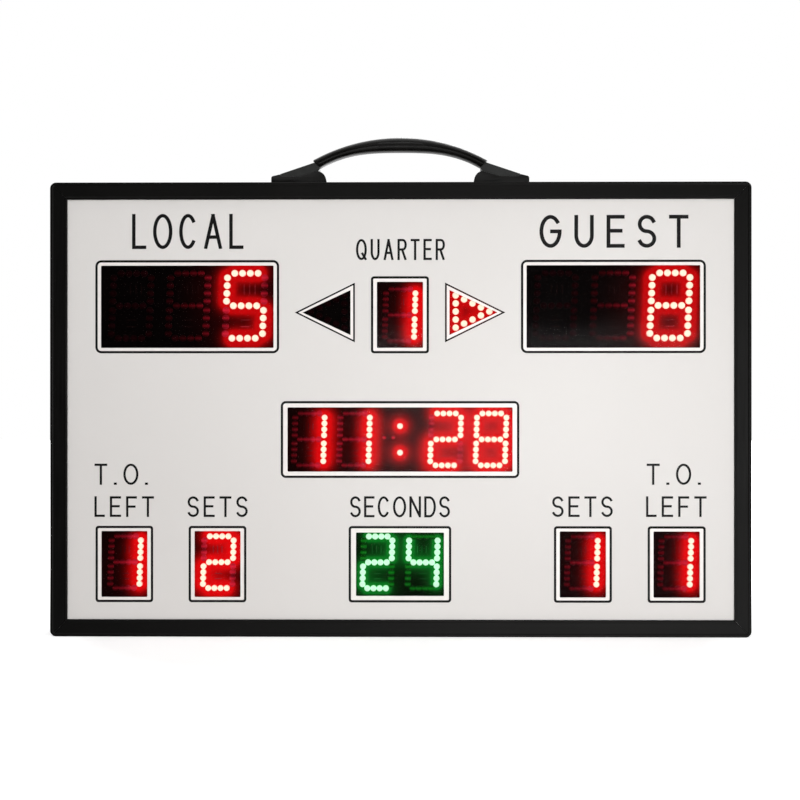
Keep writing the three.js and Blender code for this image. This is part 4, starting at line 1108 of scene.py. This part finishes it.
# Back: screws, switch, inlet and leg tips
PANEL_BACK = BOARD_DEPTH / 2 - REAR_RECESS
CONNECTOR_X = -75
INLET_LEVEL = 62
INLET_PROFILE = [
    (0, 7.5), (5.6, 7.5), (5.6, 19.5), (7.5, 19.5), (7.5, 21.0), (7.2, 21.4), (6.9, 21.5),
    (3.4, 21.5), (3.1, 21.2), (3.1, 12.5), (1, 12.5), (1, 20.4), (0.6, 20.8), (0, 20.8),
]
SCREW_PROFILE = [
    (0, -5), (1.5, -5), (1.5, 0), (3, 0), (3, 0.5),
    (2.8, 0.9), (2.3, 1.2), (1.4, 1.37), (0.6, 1.4), (0, 1.4),
]
CROSS_SLOT = (1.7, 0.28)
SWITCH_LEVEL = 118
ROCKER_PIVOT = 18.0
ROCKER_CROWN = 3.2
ROCKER_TILT = radians(10)
ROCKER_REACH = 6.6
ROCKER_HALF_WIDTH = 4.5
ROCKER_SKIRT = 4.2
ROCKER_FOOT = 2.5
ROCKER_POWER = 1.25
MARK_RISE_SHARE = 0.45
MARK_DEPTHS = (-0.4, 0.12)
MARK_BAR = ((0.3, -5), (0.3, -2.4))
MARK_RING = (2.8, 1.8)
MARK_RING_PLACE = 3.8
TIP_GROOVES = 4
TIP_GROOVE_DEPTH = 0.35
TIP_GROOVE_SLOPE = 0.3
TIP_EDGE = 0.5
TIP_RADIUS = 1.2
TIP_WALL = 1.5
TIP_BORE = 4


def build_screws():
    for name in [n for n in nodes if n.startswith("panel_screw")]:
        low, high = (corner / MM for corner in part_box(name))
        long, thin = CROSS_SLOT
        slots = [box_of((-a, 0.5, -b), (a, 2, b)) for a, b in ((long, thin), (thin, long))]
        bm = cut_out(turned(SCREW_PROFILE, 32), slots)
        place = Matrix.Translation(((low.x + high.x) / 2, PANEL_BACK, (low.z + high.z) / 2))
        piece(name + "_head", moved(bm, place), steel, stands_for=[name])


def build_inlet():
    bm = moved(turned(INLET_PROFILE, 48), Matrix.Translation((CONNECTOR_X, 0, INLET_LEVEL)))
    piece("inlet_barrel", bm, black_plastic, stands_for=["power_inlet"])


def build_rocker(steps=12):
    """A rocker with two slightly hollow ends, a bar on the pressed one and a ring on the other."""
    rise = ROCKER_REACH * tan(ROCKER_TILT)
    shares = [2 * i / steps - 1 for i in range(steps + 1)]
    outline = [(ROCKER_CROWN + rise * abs(s) ** ROCKER_POWER, ROCKER_REACH * s) for s in shares]
    heel = ROCKER_CROWN + rise - ROCKER_SKIRT
    outline += [(heel, ROCKER_REACH), (-ROCKER_FOOT, ROCKER_FOOT), (-ROCKER_FOOT, -ROCKER_FOOT),
                (heel, -ROCKER_REACH)]
    place = Matrix.Translation((CONNECTOR_X, ROCKER_PIVOT, SWITCH_LEVEL))
    place = place @ Matrix.Rotation(-ROCKER_TILT, 4, "X")
    body = crosswise(outline, -ROCKER_HALF_WIDTH, ROCKER_HALF_WIDTH)
    piece("rocker_moulded", moved(body, place), black_plastic, "rocker", ["switch_rocker"], bevel=EASED_EDGE)
    depths = [ROCKER_CROWN + MARK_RISE_SHARE * rise + depth for depth in MARK_DEPTHS]
    (x, low), (_, high) = MARK_BAR
    bar = box_of((-x, depths[0], low), (x, depths[1], high))
    rims = [rounded_loop(width, width, width / 2, 0, MARK_RING_PLACE) for width in MARK_RING]
    marks = joined(bar, ring_of(*rims, *depths))
    piece("rocker_marks", moved(marks, place), mark_white, "rocker")


def build_leg_tips():
    """Rubber tips with grooves round them, open at the top round the leg."""
    for side in ("left", "right"):
        low, high = (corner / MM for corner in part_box("leg_tip_" + side))
        centre, size = (low + high) / 2, high - low
        pitch = size.z / (2 * TIP_GROOVES + 1)
        levels = [(0, TIP_EDGE), (TIP_EDGE, 0)]
        for start in (i * pitch for i in range(1, 2 * TIP_GROOVES, 2)):
            levels += [(start, 0), (start + TIP_GROOVE_SLOPE, TIP_GROOVE_DEPTH),
                       (start + pitch - TIP_GROOVE_SLOPE, TIP_GROOVE_DEPTH), (start + pitch, 0)]
        top = size.z
        levels += [(top - TIP_EDGE, 0), (top, TIP_EDGE), (top, TIP_WALL), (top - TIP_BORE, TIP_WALL)]
        rings = [
            [(x, y, low.z + level) for x, y in rounded_loop(
                size.x - 2 * inset, size.y - 2 * inset, TIP_RADIUS, centre.x, centre.y)]
            for level, inset in levels
        ]
        piece("leg_tip_grooved_" + side, lofted(rings), black_rubber, "leg_" + side, ["leg_tip_" + side])


dress_nodes()
build_frame()
build_face()
for row in CAPTIONS:
    build_caption(row)
for row in WINDOWS:
    build_display(row)
build_arrow_display("left", -1, [])
build_arrow_display("right", 1, arrow_lamps(1))
build_grip()
build_strap()
build_sockets()
build_screws()
build_inlet()
build_rocker()
build_leg_tips()


# Floor, lights and camera
def build_floor():
    """A pale floor that keeps a soft shadow near the object and fades to white away from it.

    In reflections it is brighter to the right and near the object.
    """
    made = bpy.data.materials.new("pale_floor")
    made.use_nodes = True
    tree = made.node_tree
    tree.nodes.clear()
    place = add_node(tree, "TexCoord").outputs["Object"]
    x, y, _ = add_node(tree, "SeparateXYZ", {"Vector": place}).outputs
    path = add_node(tree, "LightPath").outputs
    away = add_node(tree, "VectorMath", {0: place}, operation="LENGTH").outputs["Value"]
    seen = math_node(tree, "MAXIMUM", path["Is Camera Ray"], path["Is Transmission Ray"])
    strength = math_node(tree, "MULTIPLY", seen, between(tree, away, 0.45, 2.6, 0.3, 0.85))
    rightward = between(tree, x, 0.1, 1.3, -0.5, 0.5)
    mirrored = math_node(tree, "MULTIPLY", rightward, between(tree, y, 1.0, 2.6, -0.8, -0.1))
    diffuse = add_node(tree, "BsdfDiffuse", {"Color": (0.8, 0.8, 0.8, 1)}).outputs[0]
    glow, image = (add_node(tree, "Emission", {"Strength": s}).outputs[0] for s in (strength, mirrored))
    both = add_node(tree, "AddShader", {0: diffuse, 1: glow}).outputs[0]
    surface = add_node(tree, "MixShader", {0: path["Is Glossy Ray"], 1: both, 2: image}).outputs[0]
    tree.links.new(surface, add_node(tree, "OutputMaterial").inputs["Surface"])
    mesh = bpy.data.meshes.new("floor")
    mesh.from_pydata([(-9, -9, 0), (9, -9, 0), (9, 9, 0), (-9, 9, 0)], [], [(0, 1, 2, 3)])
    mesh.materials.append(made)
    placed("floor", mesh)


def build_world():
    """White behind the object, and on the camera's side a studio that is darker to the left."""
    world = bpy.data.worlds.new("studio")
    bpy.context.scene.world = world
    world.use_nodes = True
    tree = world.node_tree
    background = tree.nodes["Background"]
    background.inputs["Color"].default_value = (1, 1, 1, 1)
    path = add_node(tree, "LightPath").outputs
    direction = add_node(tree, "TexCoord").outputs["Generated"]
    parts = add_node(tree, "SeparateXYZ", {"Vector": direction}).outputs
    studio = between(tree, parts["X"], 0.0, 0.6, -0.15, 0.5)
    behind = between(tree, parts["X"], 1.5, 3.6, -0.6, 0.8)
    mirrored = between(tree, parts["Y"], studio, behind, -0.8, 0.1)
    bounced = math_node(tree, "MAXIMUM", path["Is Glossy Ray"], path["Is Transmission Ray"])
    ambient = between(tree, bounced, 0.34, mirrored, 0, 1)
    seen = between(tree, path["Is Camera Ray"], ambient, 1, 0, 1)
    tree.links.new(seen, background.inputs["Strength"])


def aimed(holder, place, target):
    holder.location = place
    holder.rotation_euler = (target - place).to_track_quat("-Z", "Y").to_euler()


def area_light(name, place, target, size, power):
    lamp = bpy.data.lights.new(name, "AREA")
    lamp.shape = "RECTANGLE"
    lamp.size, lamp.size_y = size
    lamp.energy = power
    aimed(placed(name, lamp), Vector(place), Vector(target))


def build_camera(distance=1.86, seen_width=0.797846, yaw=radians(0.8)):
    camera = bpy.data.cameras.new("camera")
    camera.sensor_width = 36
    camera.lens = camera.sensor_width * distance / seen_width
    holder = placed("camera", camera)
    target = Vector((0.1, FRONT, 236.5)) * MM
    aimed(holder, target + distance * Vector((sin(yaw), -cos(yaw), 0)), target)
    bpy.context.scene.camera = holder


build_floor()
build_world()
area_light("key_light", (0.22, -1.2, 0.2), (0.1, 0, 0.1), (0.6, 0.3), 7.0)
area_light("fill_light", (-0.5, -2.0, 1.3), (0, 0, 0.25), (1.2, 1.0), 7.4)
area_light("top_light", (0.0, -0.3, 1.9), (0, 0, 0.4), (1.6, 0.5), 5)
area_light("rear_light", (0.6, 1.8, 1.4), (0, 0, 0.25), (1.4, 1.0), 16)
build_camera()
bpy.context.scene.view_settings.view_transform = "Standard"
